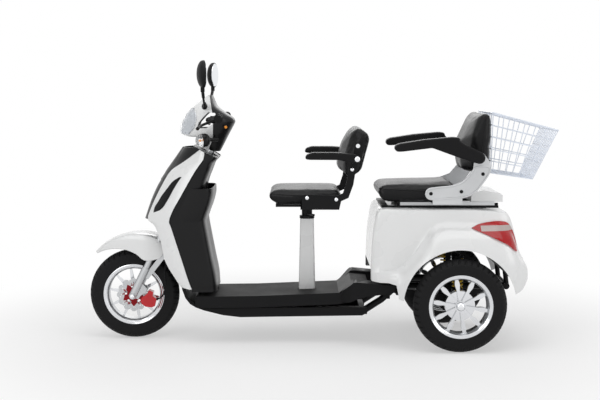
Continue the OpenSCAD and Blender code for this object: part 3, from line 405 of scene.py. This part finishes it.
arch = bmesh.new()
bmesh.ops.create_cone(arch, cap_ends=True, segments=96, radius1=0.245, radius2=0.245, depth=0.9,
                      matrix=Matrix.Translation(mm(1455, 0, 205)) @ Matrix.Rotation(math.pi / 2, 4, "X"))
tub = add_piece("tub_skin", skin(tub_grid(0), tub_grid(4)), white_paint, "chassis", ["tub"], 34, [arch])
arch.free()

# Nose, leg shield and dashboard in black moulded plastic, textured like the floor mouldings.
# The shield takes a wide pocket across its back, whose mouth is open at the top.
black_skin = finish("black_panel_plastic", (0.006, 0.006, 0.0065), 0.36, 800, 0.16, coat=0.15)
nose_front = [(556, 53), (606, 70), (654, 88), (690, 104), (722, 121), (740, 137), (777, 159), (840, 204), (909, 252)]


def bow(z, mid, edge, half, power):
    return [(mid + (edge - mid) * abs(k / 4) ** power, k / 4 * half, z) for k in range(-4, 5)]


nose_rows = [f for f in fairing_rows if f[0] >= 556]
nose = [finer([bow(f[0], between(nose_front, f[0])[1] + d, f[1] + 6, f[3] - 4.3 - d, 2.4) for f in nose_rows], 3, 3) for d in (0, 4)]
bm = skin(*nose)
trim(bm, seam_under, axis_way)
add_piece("nose_skin", bm, black_skin, "chassis", ["nose_panel"])
lid_z = [733, 760, 777, 809, 833, 860, 880]
lid = []
for out in (5.0, 0.6):
    rows = []
    for z in lid_z:
        f = between(fairing_rows, z)
        edge = min(f[3] - 6, 92)
        front = between(nose_front, z)[1]
        whole_bow = bow(z, front, f[1] + 6, f[3] - 4.3, 2.4)
        rows.append([(x - out, y * edge / (f[3] - 4.3), q) for x, y, q in whole_bow])
    lid.append(finer(rows, 3, 3))
bm = skin(*lid)
trim(bm, seam_under - axis_way * 0.001, axis_way)
add_piece("nose_lid", bm, black_skin, "chassis")
shield_back = [(236, 386), (300, 381), (400, 361), (529, 337), (590, 330), (650, 329), (709, 333), (760, 352), (795, 364), (815, 374),
               (828, 392), (868, 396)]
pocket_rows = [(545, 333, -2), (562, 338, 2), (586, 346, 5), (612, 356, 6), (645, 366, 6), (672, 371, 6), (700, 371, 6)]


def shield_edge(f):
    last = -fairing_at(f, 1, 0)[1]
    return min((last - fairing_at(f, 0.8, 0)[1]) / 2, last) - 5.2


def shield_row(z, d):
    f = between(fairing_rows, z)
    xr = between(shield_back, z)[1] - d
    xe = f[1] + (f[2] - f[1]) * 0.9
    ye = shield_edge(f) - d
    hw = min(ye, 163 - d)
    half = [(xe, -ye, z), (xe + (xr - xe) * 0.6, -hw, z), (xr - 12, -hw + 12, z), (xr, -hw + 44, z)]
    return half + [(xr - 4, 0, z)] + [(x, -y, q) for x, y, q in reversed(half)]


def pocket_row(r, d):
    f = between(fairing_rows, r[0])
    xr = r[1] - d
    edge = shield_edge(f)
    ye = edge - 4 - d
    hw = min(edge, 163) + r[2] - d
    half = [(f[2] + 1, -ye, r[0]), (f[2] + (xr - f[2]) * 0.5, -hw, r[0]), (xr - 20, -hw + 9, r[0]), (xr - 4, -hw + 38, r[0])]
    return half + [(xr, 0, r[0])] + [(x, -y, q) for x, y, q in reversed(half)]


shield_z = [236] + [f[0] for f in fairing_rows]
bm = skin(*[finer([shield_row(z, d) for z in shield_z], 3, 3) for d in (0, 4)])
trim(bm, seam_under, axis_way)
add_piece("leg_shield_skin", bm, black_skin, "chassis", ["leg_shield"])
bm = skin(*[finer([pocket_row(r, d) for r in pocket_rows], 3, 3) for d in (0, 4)])
add_piece("shield_pocket", bm, black_skin, "chassis")
bm = bmesh.new()
collar = [(-78, -60), (-40, -112), (22, -132), (30, -126), (42, -90), (42, 90), (30, 126), (22, 132), (-40, 112), (-78, 60)]
ring = [bm.verts.new((x / 1000, y / 1000, 0.717)) for x, y in collar]
plate = bm.faces.new(ring)
up = bmesh.ops.extrude_face_region(bm, geom=[plate])
bmesh.ops.translate(bm, verts=[v for v in up["geom"] if isinstance(v, bmesh.types.BMVert)], vec=(0, 0, 0.004))
bmesh.ops.transform(bm, matrix=Matrix.Translation(axis_foot) @ Matrix.Rotation(math.radians(26), 4, "Y"), verts=bm.verts)
bmesh.ops.recalc_face_normals(bm, faces=bm.faces)
hole = bmesh.new()
bmesh.ops.create_cone(hole, cap_ends=True, segments=48, radius1=0.044, radius2=0.044, depth=0.1,
                      matrix=Matrix.Translation(axis_foot + axis_way * 0.72) @ Matrix.Rotation(math.radians(26), 4, "Y"))
add_piece("column_collar", bm, black_skin, "chassis", cutters=[hole])
hole.free()

# Headlamp cowl and dashboard: two half shells that meet at a seam round the handlebar.
# The white front half holds a clear lamp; the black rear half closes the steering column.
cowl_rows = [(860, 322, 344, 56), (900, 306, 361, 74), (922, 298, 369, 86), (928, 242, 370, 89), (945, 222, 371, 97), (985, 228, 372, 107),
             (1027, 250, 370, 111), (1050, 268, 367, 108), (1067, 284, 364, 103), (1112, 338, 355, 58)]
dash_back = [(860, 398), (900, 419), (922, 430), (945, 442), (985, 463), (993, 466), (1010, 459), (1027, 434), (1050, 402), (1067, 384),
             (1112, 366)]
window = prism([(298, 966), (306, 990), (330, 1018), (352, 1038), (382, 1034), (392, 1000), (366, 982), (340, 966)], -200, 200)
bm = skin(*[finer([bow(z, x + d, e, h - d, 2.6) for z, x, e, h in cowl_rows], 4, 4) for d in (0, 4)])
trim(bm, seam_over, -axis_way)
add_piece("cowl_skin", bm, white_paint, "steering", ["headlight_cowl"], 40, [window])
dash_rows = [(z, x, between(cowl_rows, z)[2] + 0.9, between(cowl_rows, z)[3]) for z, x in dash_back]
bm = skin(*[finer([bow(z, x - d, e, h - d, 3) for z, x, e, h in dash_rows], 4, 4) for d in (0, 4)])
trim(bm, seam_over, -axis_way)
add_piece("dashboard_skin", bm, black_skin, "steering", ["dashboard"], 40, [window])
window.free()

# Front mudguard: a painted skin that follows the wheel and drops its skirts over the fork legs.
fender_rows = [(132, 263, 20, 4), (124, 268, 42, 16), (112, 274, 60, 36), (98, 280, 74, 60), (84, 286, 85.3, 86), (72, 290, 91.3, 108),
               (62, 290, 91.3, 96), (54, 282, 91.3, 60)]


def fender_row(r, d):
    c, s = math.cos(math.radians(r[0])), math.sin(math.radians(r[0]))
    q, w, k = r[1] - d, r[2] - d, r[3]
    return [(c * b, a, 205 + s * b) for a, b in
            [(-w, q - k - 6), (-w, q - k / 2 - 6), (-w * 0.93, q - 7), (-w * 0.55, q - 1), (0, q), (w * 0.55, q - 1), (w * 0.93, q - 7),
             (w, q - k / 2 - 6), (w, q - k - 6)]]


legs = []
for s in (-1, 1):
    leg = bmesh.new()
    bmesh.ops.create_cone(leg, cap_ends=True, segments=40, radius1=0.0153, radius2=0.0153, depth=0.3,
                          matrix=Matrix.Translation(axis_foot) @ Matrix.Rotation(math.radians(26), 4, "Y") @ Matrix.Translation((-0.03, s * 0.073, 0.29)))
    legs.append(leg)
add_piece("mudguard_skin", skin(*[finer([fender_row(r, d) for r in fender_rows], 3, 3) for d in (0, 3)]), white_paint, "steering",
          ["front_fender"], 34, legs)
for leg in legs:
    leg.free()

# Cast and turned metal: fork, wheels, brake disc and seat side plates.
# The rims keep the bright turned lip of a diamond-cut wheel; the disc's middle is a dark red carrier.
alloy = finish("cast_alloy", (0.52, 0.53, 0.54), 0.30, 500, 0.06, metallic=1.0)
turned = finish("turned_alloy", (0.72, 0.73, 0.75), 0.16, 500, 0.03, metallic=1.0)
satin_silver = finish("satin_silver_paint", (0.60, 0.61, 0.62), 0.36, 500, 0.04, metallic=0.6)
dress(alloy, "fork", "front_rim", "rear_left_rim", "rear_right_rim", "brake_disc")
dress(satin_silver, "rear_seat_frame")
smooth_node(35, "fork", "front_rim", "rear_left_rim", "rear_right_rim", "brake_disc", "rear_seat_frame")
cover_side = [(1334, 658), (1410, 662), (1488, 670), (1524, 690), (1550, 718), (1589, 778), (1590, 800), (1578, 808), (1530, 806), (1519, 800),
              (1512, 786), (1474, 743), (1454, 731), (1423, 723), (1334, 712), (1315, 704), (1307, 685), (1315, 666)]
for s, side in ((-1, "left"), (1, "right")):
    smooth_line = through([(x, 0, z) for x, z in cover_side + cover_side[:1]], 4)[:-1]
    bm = prism([(p.x, p.z) for p in smooth_line], s * 233.2, s * 236.4)
    outer_face = max((f for f in bm.faces), key=lambda f: s * f.calc_center_median().y)
    for width, depth in ((0.0012, 0.0008), (0.0045, 0.0), (0.0020, -0.0030)):
        bmesh.ops.inset_individual(bm, faces=[outer_face], thickness=width, depth=depth, use_even_offset=True)
    add_piece(side + "_seat_cover_plate", bm, satin_silver, "rear_seat", sharp=25)
for name, x in (("front_rim", 0), ("rear_left_rim", 1455), ("rear_right_rim", 1455)):
    mesh = node[name].data
    mesh.materials.append(turned)
    hub = mm(x, 0, 205)
    for p in mesh.polygons:
        if math.hypot(p.center.x - hub.x, p.center.z - hub.z) > 0.1235 or abs(p.normal.y) > 0.99:
            p.material_index = 1
carrier_red = finish("dark_red_anodised", (0.22, 0.012, 0.016), 0.3, 600, 0.03, metallic=0.7)
disc_mesh = node["brake_disc"].data
disc_mesh.materials.append(carrier_red)
for p in disc_mesh.polygons:
    if math.hypot(p.center.x - mm(0, 0, 205).x, p.center.z - 0.205) < 0.0485:
        p.material_index = 1
red_paint = finish("red_caliper_paint", (0.55, 0.015, 0.02), 0.28, 600, 0.05, coat=0.6)
dress(red_paint, "brake_caliper")
dress(moulding, "brake_hose")
smooth_node(35, "brake_caliper", "brake_hose")

# Rear shock absorbers: a rod in black powder coat inside a coil spring of yellow painted steel.
# The wire is bent round the rod in eight turns and sits between two black cups.
spring_paint = finish("yellow_spring_paint", (0.75, 0.50, 0.03), 0.35, 600, 0.05, coat=0.4)
for side, s in (("left", -1), ("right", 1)):
    lo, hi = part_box(side + "_shock")
    cx, cy = (lo[0] + hi[0]) / 2, (lo[1] + hi[1]) / 2
    bm = bmesh.new()
    for radius, z0, z1 in ((0.008, lo[2], hi[2]), (0.026, lo[2] + 0.014, lo[2] + 0.024), (0.026, hi[2] - 0.02, hi[2] - 0.01)):
        bmesh.ops.create_cone(bm, cap_ends=True, segments=40, radius1=radius, radius2=radius, depth=z1 - z0,
                              matrix=Matrix.Translation((cx, cy, (z0 + z1) / 2)))
    ring = bmesh.ops.create_circle(bm, cap_ends=True, segments=12, radius=0.0042,
                                   matrix=Matrix.Translation((cx + 0.0205, cy, lo[2] + 0.028)) @ Matrix.Rotation(math.pi / 2, 4, "X"))
    start = list({f for v in ring["verts"] for f in v.link_faces})
    bmesh.ops.spin(bm, geom=start, cent=(cx, cy, 0), axis=(0, 0, 1), dvec=(0, 0, (hi[2] - lo[2] - 0.052) / 256), angle=math.tau * 8, steps=256)
    bmesh.ops.recalc_face_normals(bm, faces=bm.faces)
    coil = add_piece(side + "_coil_spring", bm, spring_paint, "chassis", [side + "_shock"])
    coil.data.materials.append(powder_coat)
    for p in coil.data.polygons:
        far = math.hypot(p.center.x - cx, p.center.y - cy)
        if far < 0.012 or p.center.z < lo[2] + 0.0242 or p.center.z > hi[2] - 0.0202:
            p.material_index = 1

# Tyres of black rubber, 410 mm across, on 10 inch wheels.
# Half of the tyre's section is turned round the axle in uneven steps, so that every slice holds a
# tread block and a groove; the grooves are then pressed in at both shoulders.
rubber = finish("tyre_rubber", (0.010, 0.010, 0.0105), 0.66, 900, 0.3, drift=0.15)
tyre_section = [(0.129, 0.0335), (0.137, 0.0385), (0.139, 0.0405), (0.142, 0.0394), (0.156, 0.0415), (0.170, 0.0420), (0.177, 0.0414),
                (0.180, 0.0417), (0.186, 0.0394), (0.192, 0.0350), (0.198, 0.0275), (0.2020, 0.0190), (0.2038, 0.0110), (0.2046, 0.0050)]


def tread_tyre(name, body, replaced):
    low_corner, high_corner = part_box(replaced)
    middle = (Vector(low_corner) + Vector(high_corner)) / 2
    outline = [(r, -w) for r, w in tyre_section] + [(0.2022, 0.0)] + [(r, w) for r, w in reversed(tyre_section)]
    bm = bmesh.new()
    line = [bm.verts.new((0, w, r)) for r, w in outline]
    geom = line + [bm.edges.new(pair) for pair in zip(line, line[1:])]
    slices = 44
    turn = math.tau / slices
    for i in range(slices):
        for k, share in enumerate((0.66, 0.07, 0.20, 0.07)):
            made = bmesh.ops.spin(bm, geom=geom, cent=(0, 0, 0), axis=(0, 1, 0), angle=turn * share, steps=1)
            geom = made["geom_last"]
            for v in geom:
                if isinstance(v, bmesh.types.BMVert):
                    v.tag = k in (1, 2)
    bmesh.ops.remove_doubles(bm, verts=bm.verts, dist=1e-5)
    for v in bm.verts:
        r = math.hypot(v.co.x, v.co.z)
        w = abs(v.co.y)
        if v.tag and 0.0185 < w and 0.184 < r:
            depth = 0.0055 if w < 0.038 else 0.0028
            v.co.x *= 1 - depth / r
            v.co.z *= 1 - depth / r
        lean = (v.co.y / 0.04) * turn * 0.25
        v.co = Matrix.Rotation(lean, 3, "Y") @ v.co
    bmesh.ops.translate(bm, verts=bm.verts, vec=middle)
    bmesh.ops.recalc_face_normals(bm, faces=bm.faces)
    mesh = bpy.data.meshes.new(name)
    bm.to_mesh(mesh)
    bm.free()
    mesh.shade_smooth()
    mesh.set_sharp_from_angle(angle=math.radians(32))
    mesh.materials.append(rubber)
    tyre = bpy.data.objects.new(name, mesh)
    scene.collection.objects.link(tyre)
    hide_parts(replaced)
    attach(tyre, body)


tread_tyre("front_tyre_with_tread", "front_wheel", "front_tyre")
tread_tyre("rear_left_tyre_with_tread", "rear_left_wheel", "rear_left_tyre")
tread_tyre("rear_right_tyre_with_tread", "rear_right_wheel", "rear_right_tyre")

# Seats in black vinyl over foam: each pad is blown up from its moulded form by a cloth simulation,
# held close to its block, and then gets the welt that is sewn round its upper edge.
vinyl = finish("black_vinyl", (0.0055, 0.0055, 0.006), 0.38, 520, 0.35, coat=0.08)


def settle(mesh_owner, cap, pressure):
    press = mesh_owner.modifiers.new("foam", "CLOTH")
    press.settings.use_pressure = True
    press.settings.uniform_pressure_force = pressure
    press.settings.effector_weights.gravity = 0
    press.settings.tension_stiffness = 18
    press.settings.compression_stiffness = 18
    press.settings.quality = 4
    rest = [v.co.copy() for v in mesh_owner.data.vertices]
    for f in range(1, 21):
        scene.frame_set(f)
    blown = mesh_owner.evaluated_get(bpy.context.evaluated_depsgraph_get()).to_mesh()
    moved = [v.co.copy() for v in blown.vertices]
    mesh_owner.modifiers.clear()
    scene.frame_set(1)
    for v, a, b in zip(mesh_owner.data.vertices, rest, moved):
        step = b - a
        v.co = a + step * min(1.0, cap / max(step.length, 1e-9))


def welt(outline, radius, cx):
    bm = bmesh.new()
    n = len(outline)
    rings = []
    for i, p in enumerate(outline):
        way = (outline[(i + 1) % n] - outline[i - 1]).normalized()
        a = way.orthogonal().normalized() if abs(way.z) > 0.9 else way.cross(Vector((0, 0, 1))).normalized()
        b = way.cross(a)
        rings.append([bm.verts.new(p + (a * math.cos(k * math.pi / 4) + b * math.sin(k * math.pi / 4)) * radius) for k in range(8)])
    for i in range(n):
        for k in range(8):
            bm.faces.new((rings[i][k], rings[i][(k + 1) % 8], rings[(i + 1) % n][(k + 1) % 8], rings[(i + 1) % n][k]))
    bmesh.ops.recalc_face_normals(bm, faces=bm.faces)
    return bm


def outline_at(mesh, point, normal):
    bm = bmesh.new()
    bm.from_mesh(mesh)
    cut = bmesh.ops.bisect_plane(bm, geom=bm.verts[:] + bm.edges[:] + bm.faces[:], plane_co=point, plane_no=normal)
    middle = sum((v.co for v in bm.verts), Vector()) / len(bm.verts)
    side = Vector(normal).orthogonal().normalized()
    other = Vector(normal).cross(side)
    spots = [g.co.copy() for g in cut["geom_cut"] if isinstance(g, bmesh.types.BMVert)]
    bm.free()
    turns = {}
    for p in spots:
        d = p - middle
        k = int((math.atan2(d.dot(other), d.dot(side)) + math.pi) / math.tau * 120)
        if k not in turns or (p - middle).length > (turns[k] - middle).length:
            turns[k] = p
    ring = [turns[k] for k in sorted(turns)]
    for again in range(2):
        ring = [(ring[i - 1] + ring[i] * 2 + ring[(i + 1) % len(ring)]) / 4 for i in range(len(ring))]
    return ring


def stuffed(name, source, body, cap, seam_point, seam_way):
    bm = bmesh.new()
    bm.from_mesh(node[source].data)
    bmesh.ops.remove_doubles(bm, verts=bm.verts, dist=1e-5)
    bmesh.ops.recalc_face_normals(bm, faces=bm.faces)
    pad = add_piece(name, bm, vinyl, body, [source], 60)
    fine_skin = pad.modifiers.new("even_skin", "REMESH")
    fine_skin.mode = "VOXEL"
    fine_skin.voxel_size = 0.0065
    soft = pad.modifiers.new("rounded", "SMOOTH")
    soft.factor = 0.5
    soft.iterations = 6
    made = bpy.data.meshes.new_from_object(pad.evaluated_get(bpy.context.evaluated_depsgraph_get()))
    pad.modifiers.clear()
    pad.data = made
    for v in pad.data.vertices:
        v.co -= v.normal * 0.003
    settle(pad, cap, 4.0)
    pad.data.shade_smooth()
    finer_skin = pad.modifiers.new("fine", "SUBSURF")
    finer_skin.levels = finer_skin.render_levels = 1
    pad.data.materials.clear()
    pad.data.materials.append(vinyl)
    ring = outline_at(pad.data, seam_point, seam_way)
    add_piece(name + "_welt", welt(ring, 0.0026, 0), vinyl, body, sharp=180)
    return pad


stuffed("front_seat_pad", "front_seat_cushion", "front_seat", 0.007, mm(792, 0, 674), (0.03, 0, 1))
stuffed("front_back_pad", "front_seat_back", "front_seat", 0.007, mm(1012, 0, 850), (1, 0, -0.27))
stuffed("rear_seat_pad", "rear_seat_cushion", "rear_seat", 0.007, mm(1290, 0, 697), (0.03, 0, 1))
stuffed("rear_back_pad", "rear_seat_back", "rear_seat", 0.007, mm(1556, 0, 880), (1, 0, -0.16))

# Armrests of moulded black foam with rounded edges, on the pins of their seat brackets.
# The remeshed block is smoothed, so that every edge of the moulding is soft.
arm_foam = finish("armrest_foam", (0.006, 0.006, 0.0065), 0.42, 620, 0.25)
for source, body in (("front_left_arm", "front_left_armrest"), ("front_right_arm", "front_right_armrest"),
                     ("rear_left_arm", "rear_left_armrest"), ("rear_right_arm", "rear_right_armrest")):
    bm = bmesh.new()
    bm.from_mesh(node[source].data)
    bmesh.ops.remove_doubles(bm, verts=bm.verts, dist=1e-5)
    arm = add_piece(source + "_pad", bm, arm_foam, body, [source], 60)
    block = arm.modifiers.new("even_skin", "REMESH")
    block.mode = "VOXEL"
    block.voxel_size = 0.0035
    soft = arm.modifiers.new("rounded", "SMOOTH")
    soft.factor = 0.5
    soft.iterations = 14
    made = bpy.data.meshes.new_from_object(arm.evaluated_get(bpy.context.evaluated_depsgraph_get()))
    arm.modifiers.clear()
    arm.data = made
    arm.data.shade_smooth()
    arm.data.materials.clear()
    arm.data.materials.append(arm_foam)

# Mirrors: grained black housings with a silvered glass let into the back of each.
mirror_glass = finish("silvered_glass", (0.80, 0.82, 0.84), 0.03, 50, 0.0, metallic=1.0, drift=0.0, spread=0.0)
dress(moulding, "left_mirror", "right_mirror")
smooth_node(35, "left_mirror", "right_mirror")
for side, s in (("left", -1), ("right", 1)):
    bm = bmesh.new()
    bmesh.ops.create_cone(bm, cap_ends=True, segments=64, radius1=0.0545, radius2=0.0535, depth=0.002,
                          matrix=Matrix.Translation(mm(347, s * 297, 1205)) @ Matrix.Rotation(math.radians(-12 * s), 4, "Z")
                          @ Matrix.Translation((0.0068, 0, 0)) @ Matrix.Rotation(math.pi / 2, 4, "Y"))
    add_piece(side + "_mirror_glass", bm, mirror_glass, "steering")

# Lamps: clear headlamp glass over a bright reflector, round turn signals, and tail lamps with a clear band.
# The reflector follows the cowl just above its paint and the glass stands 3 mm over it.
clear = finish("clear_lamp_plastic", (0.95, 0.96, 0.97), 0.04, 60, 0.0, drift=0.0, spread=0.0, specular=0.5)
clear.node_tree.nodes["Principled BSDF"].inputs["Transmission Weight"].default_value = 0.9
clear.node_tree.nodes["Principled BSDF"].inputs["IOR"].default_value = 1.3
reflector = finish("fluted_reflector", (0.55, 0.57, 0.60), 0.16, 150, 0.5, metallic=1.0)


def lamp_patch(out, width):
    rows = []
    for z in (934, 945, 965, 985, 1005, 1027, 1045, 1056):
        r = between(cowl_rows, z)
        w = width * (1 - 0.35 * abs((z - 992) / 64) ** 3)
        rows.append([(r[1] + (r[2] - r[1]) * abs(a) ** 2.6 - out, a * (r[3] + out * 0.8), z) for a in [w * k / 6 for k in range(-6, 7)]])
    return finer(rows, 3, 2)


add_piece("headlamp_reflector", skin(lamp_patch(2.0, 0.72), lamp_patch(0.5, 0.72)), reflector, "steering")
add_piece("headlamp_glass", skin(lamp_patch(6.0, 0.75), lamp_patch(3.4, 0.75)), clear, "steering")
amber = finish("amber_bulb", (0.85, 0.30, 0.02), 0.2, 100, 0.0, coat=0.5)
lens_profile = [(0.0285, 0.0), (0.0282, 0.004), (0.0262, 0.011), (0.0222, 0.018), (0.0160, 0.0235), (0.0085, 0.0268), (0, 0.0278)]
body_profile = [(0.0290, 0.0), (0.0298, -0.003), (0.0300, -0.010), (0.0288, -0.020), (0.0240, -0.029), (0.0150, -0.035), (0.0080, -0.037), (0, -0.037)]
bulb_profile = [(0.0036, 0.001), (0.0042, 0.004), (0.0036, 0.008), (0.0020, 0.010), (0, 0.0106)]


def turned_piece(profile, place, way, segments=40, lift=0.0):
    turn = Vector((0, 0, 1)).rotation_difference(Vector(way)).to_matrix().to_4x4()
    bm = bmesh.new()
    points = ([(0, profile[0][1])] if profile[0][0] > 0 else []) + list(profile)
    line = [bm.verts.new((r, 0, h + lift)) for r, h in points]
    geom = line + [bm.edges.new(pair) for pair in zip(line, line[1:])]
    bmesh.ops.spin(bm, geom=geom, cent=(0, 0, 0), axis=(0, 0, 1), angle=math.tau, steps=segments)
    bmesh.ops.remove_doubles(bm, verts=bm.verts, dist=1e-6)
    bmesh.ops.transform(bm, matrix=Matrix.Translation(place) @ turn, verts=bm.verts)
    bmesh.ops.recalc_face_normals(bm, faces=bm.faces)
    return bm


def rod(a, b, radius, segments=24):
    bm = bmesh.new()
    along = b - a
    turn = Vector((0, 0, 1)).rotation_difference(along.normalized()).to_matrix().to_4x4()
    bmesh.ops.create_cone(bm, cap_ends=True, segments=segments, radius1=radius, radius2=radius, depth=along.length,
                          matrix=Matrix.Translation((a + b) / 2) @ turn)
    return bm


def joined(*pieces):
    mesh = bpy.data.meshes.new("joined")
    whole = bmesh.new()
    for one in pieces:
        one.to_mesh(mesh)
        one.free()
        whole.from_mesh(mesh)
    bpy.data.meshes.remove(mesh)
    return whole


for side, s in (("left", -1), ("right", 1)):
    way = Vector((-34, s * 12, -4)).normalized()
    seat = mm(325, s * 143, 914)
    add_piece(side + "_signal_lens", turned_piece(lens_profile, seat, way), clear, "steering")
    add_piece(side + "_signal_bulb", turned_piece(bulb_profile, seat, way, 24, 0.0006), amber, "steering")
    housing = joined(turned_piece(body_profile, seat, way, 40, -0.0006), rod(mm(345, s * 136, 916), mm(392, s * 92, 916), 0.008))
    add_piece(side + "_signal_body", housing, black_skin, "steering")
    foot = joined(turned_piece([(0.011, -0.004), (0.013, 0.004), (0.012, 0.014), (0.008, 0.020), (0, 0.021)], mm(336, s * 112, 1060),
                               (0.1, s * 0.75, 0.65)),
                  rod(mm(338, s * 131, 1064), mm(340, s * 150, 1078), 0.0075))
    add_piece(side + "_mirror_boss", foot, black_skin, "steering")
    add_piece(side + "_warning_button", turned_piece([(0.0065, 0), (0.0065, 0.002), (0.0045, 0.004), (0, 0.0045)], mm(428, s * 88, 971),
                                                     (0.25, s, 0)), amber, "steering")
lamp_red = finish("red_lamp_plastic", (0.42, 0.004, 0.007), 0.14, 300, 0.03, coat=0.4)
window_band, band_in, band_out = group_with("window_band", [("Low", "NodeSocketFloat", 0.527), ("High", "NodeSocketFloat", 0.549)],
                                            [("Mask", "NodeSocketFloat")])
spot = window_band.nodes.new("ShaderNodeTexCoord")
parts = window_band.nodes.new("ShaderNodeSeparateXYZ")
above = window_band.nodes.new("ShaderNodeMath")
above.operation = "GREATER_THAN"
below = window_band.nodes.new("ShaderNodeMath")
below.operation = "LESS_THAN"
behind = window_band.nodes.new("ShaderNodeMath")
behind.operation = "GREATER_THAN"
behind.inputs[1].default_value = 0.702
both = window_band.nodes.new("ShaderNodeMath")
both.operation = "MULTIPLY"
every = window_band.nodes.new("ShaderNodeMath")
every.operation = "MULTIPLY"
for a, b in [(spot.outputs["Object"], parts.inputs[0]), (parts.outputs["Z"], above.inputs[0]), (band_in.outputs["Low"], above.inputs[1]),
             (parts.outputs["Z"], below.inputs[0]), (band_in.outputs["High"], below.inputs[1]), (parts.outputs["X"], behind.inputs[0]),
             (above.outputs[0], both.inputs[0]), (below.outputs[0], both.inputs[1]), (both.outputs[0], every.inputs[0]),
             (behind.outputs[0], every.inputs[1]), (every.outputs[0], band_out.inputs["Mask"])]:
    window_band.links.new(a, b)
red_tree = lamp_red.node_tree
band = red_tree.nodes.new("ShaderNodeGroup")
band.node_tree = window_band
two = red_tree.nodes.new("ShaderNodeMix")
two.data_type = "RGBA"
two.inputs["B"].default_value = (0.50, 0.42, 0.40, 1)
red_shader = red_tree.nodes["Principled BSDF"]
red_tree.links.new(band.outputs["Mask"], two.inputs["Factor"])
red_tree.links.new(red_shader.inputs["Base Color"].links[0].from_socket, two.inputs["A"])
red_tree.links.new(two.outputs["Result"], red_shader.inputs["Base Color"])
lamp_side = [(1506, 540), (1548, 557), (1662, 562), (1690, 533), (1713, 446), (1700, 441), (1660, 470), (1600, 500)]
for s, side in ((-1, "left"), (1, "right")):
    outline = through([(x, 0, z) for x, z in lamp_side + lamp_side[:1]], 4)[:-1]
    shape = prism([(p.x, p.z) for p in outline], s * 180, s * 345)
    add_piece(side + "_tail_lamp_lens", skin(tub_grid(-7), tub_grid(-1)), lamp_red, "chassis", [side + "_tail_lamp"], 34, [shape],
              "INTERSECT")
    shape.free()

# Basket of white coated wire, with its rim bars, hung on the passenger's backrest.
# The wires keep their built form.
wire_coat = finish("white_wire_coat", (0.74, 0.79, 0.88), 0.32, 600, 0.04, coat=0.4)
dress(wire_coat, "basket")
smooth_node(60, "basket")

# Handlebar grips of ribbed rubber on the coated bar, which carries the levers and the switch boxes.
# The grips are sleeves over the ends of the bar.
grip_rubber = finish("grip_rubber", (0.007, 0.007, 0.007), 0.7, 500, 0.5)
bar_mesh = node["handlebar"].data
bar_mesh.materials.append(grip_rubber)
for p in bar_mesh.polygons:
    c = p.center
    if abs(c.y) > 0.2 and c.x > mm(386, 0, 0).x:
        p.material_index = 1
for s in (-1, 1):
    bm = bmesh.new()
    for k in range(22):
        bmesh.ops.create_cone(bm, cap_ends=True, segments=32, radius1=0.0178, radius2=0.0178, depth=0.0026,
                              matrix=Matrix.Translation(mm(402 + 8 * (k / 22), s * (204 + k * 5), 1013)) @ Matrix.Rotation(math.pi / 2, 4, "X"))
    add_piece("grip_rings_" + ("left" if s < 0 else "right"), bm, grip_rubber, "steering", sharp=20)

# Visible bolts: chrome dome heads on the rider's seat bracket, black ones on the passenger's covers,
# and the hub caps of the rear wheels. Each is a low dome turned from round bar, flange to crown.
chrome = finish("polished_chrome", (0.82, 0.83, 0.85), 0.08, 400, 0.02, metallic=1.0)


def dome(place, way, radius, height):
    turn = Vector((0, 0, 1)).rotation_difference(Vector(way)).to_matrix().to_4x4()
    bm = bmesh.new()
    line = [bm.verts.new((radius * r, 0, height * h)) for r, h in ((1, 0), (1, 0.25), (0.94, 0.5), (0.74, 0.82), (0.4, 0.97), (0, 1))]
    geom = line + [bm.edges.new(pair) for pair in zip(line, line[1:])]
    bmesh.ops.spin(bm, geom=geom, cent=(0, 0, 0), axis=(0, 0, 1), angle=math.tau, steps=28)
    bmesh.ops.remove_doubles(bm, verts=bm.verts, dist=1e-6)
    bmesh.ops.holes_fill(bm, edges=[e for e in bm.edges if e.is_boundary], sides=0)
    bmesh.ops.transform(bm, matrix=Matrix.Translation(place) @ turn, verts=bm.verts)
    bmesh.ops.recalc_face_normals(bm, faces=bm.faces)
    return bm


for s, side in ((-1, "left"), (1, "right")):
    for i, (x, z) in enumerate(((791, 666), (919, 659), (988, 791), (1013, 894))):
        rise = 0.0005 if z > 839 else 0.006
        add_piece(f"{side}_bracket_bolt_{i + 1}", dome(mm(x, s * 221, z), (0, s, 0), 0.009, rise), chrome, "front_seat")
    for i, (x, z) in enumerate(((1332, 686), (1465, 695), (1558, 772))):
        add_piece(f"{side}_cover_bolt_{i + 1}", dome(mm(x, s * 234, z), (0, s, 0), 0.008, 0.005), powder_coat, "rear_seat")
    add_piece(side + "_front_arm_cap", dome(mm(1008, s * 272.8, 839), (0, s, 0), 0.012, 0.005), chrome, "front_" + side + "_armrest")
    add_piece(side + "_hub_cap", dome(mm(1455, s * 338, 205), (0, s, 0), 0.019, 0.014), chrome, "rear_" + side + "_wheel")
    add_piece(side + "_axle_nut", dome(mm(0, s * 99, 205), (0, s, 0), 0.011, 0.008), chrome, "steering")

# Black grille inserts in the painted fairings beside the nose: thin moulded mesh on the panel's surface.
grille = finish("black_grille", (0.005, 0.005, 0.0055), 0.35, 260, 0.9)
insert_rows = [(588, 103, 112), (614, 109, 148), (640, 126, 166), (665, 141, 181), (700, 168, 200), (733, 195, 221), (753, 226, 236)]
for s, side in ((1, "left"), (-1, "right")):
    layers = []
    for out in (1.6, -0.8):
        rows = []
        for z, x0, x1 in insert_rows:
            f = between(fairing_rows, z)
            t0, t1 = [(x - f[1]) / (f[2] - f[1]) for x in (x0, x1)]
            rows.append([fairing_at(f, max(0.02, t0 + (t1 - t0) * k / 4), out) for k in range(5)])
        layers.append([[Vector((p.x, s * p.y, p.z)) for p in r] for r in finer(rows, 3, 3)])
    add_piece(side + "_fairing_grille", skin(*layers), grille, "chassis")
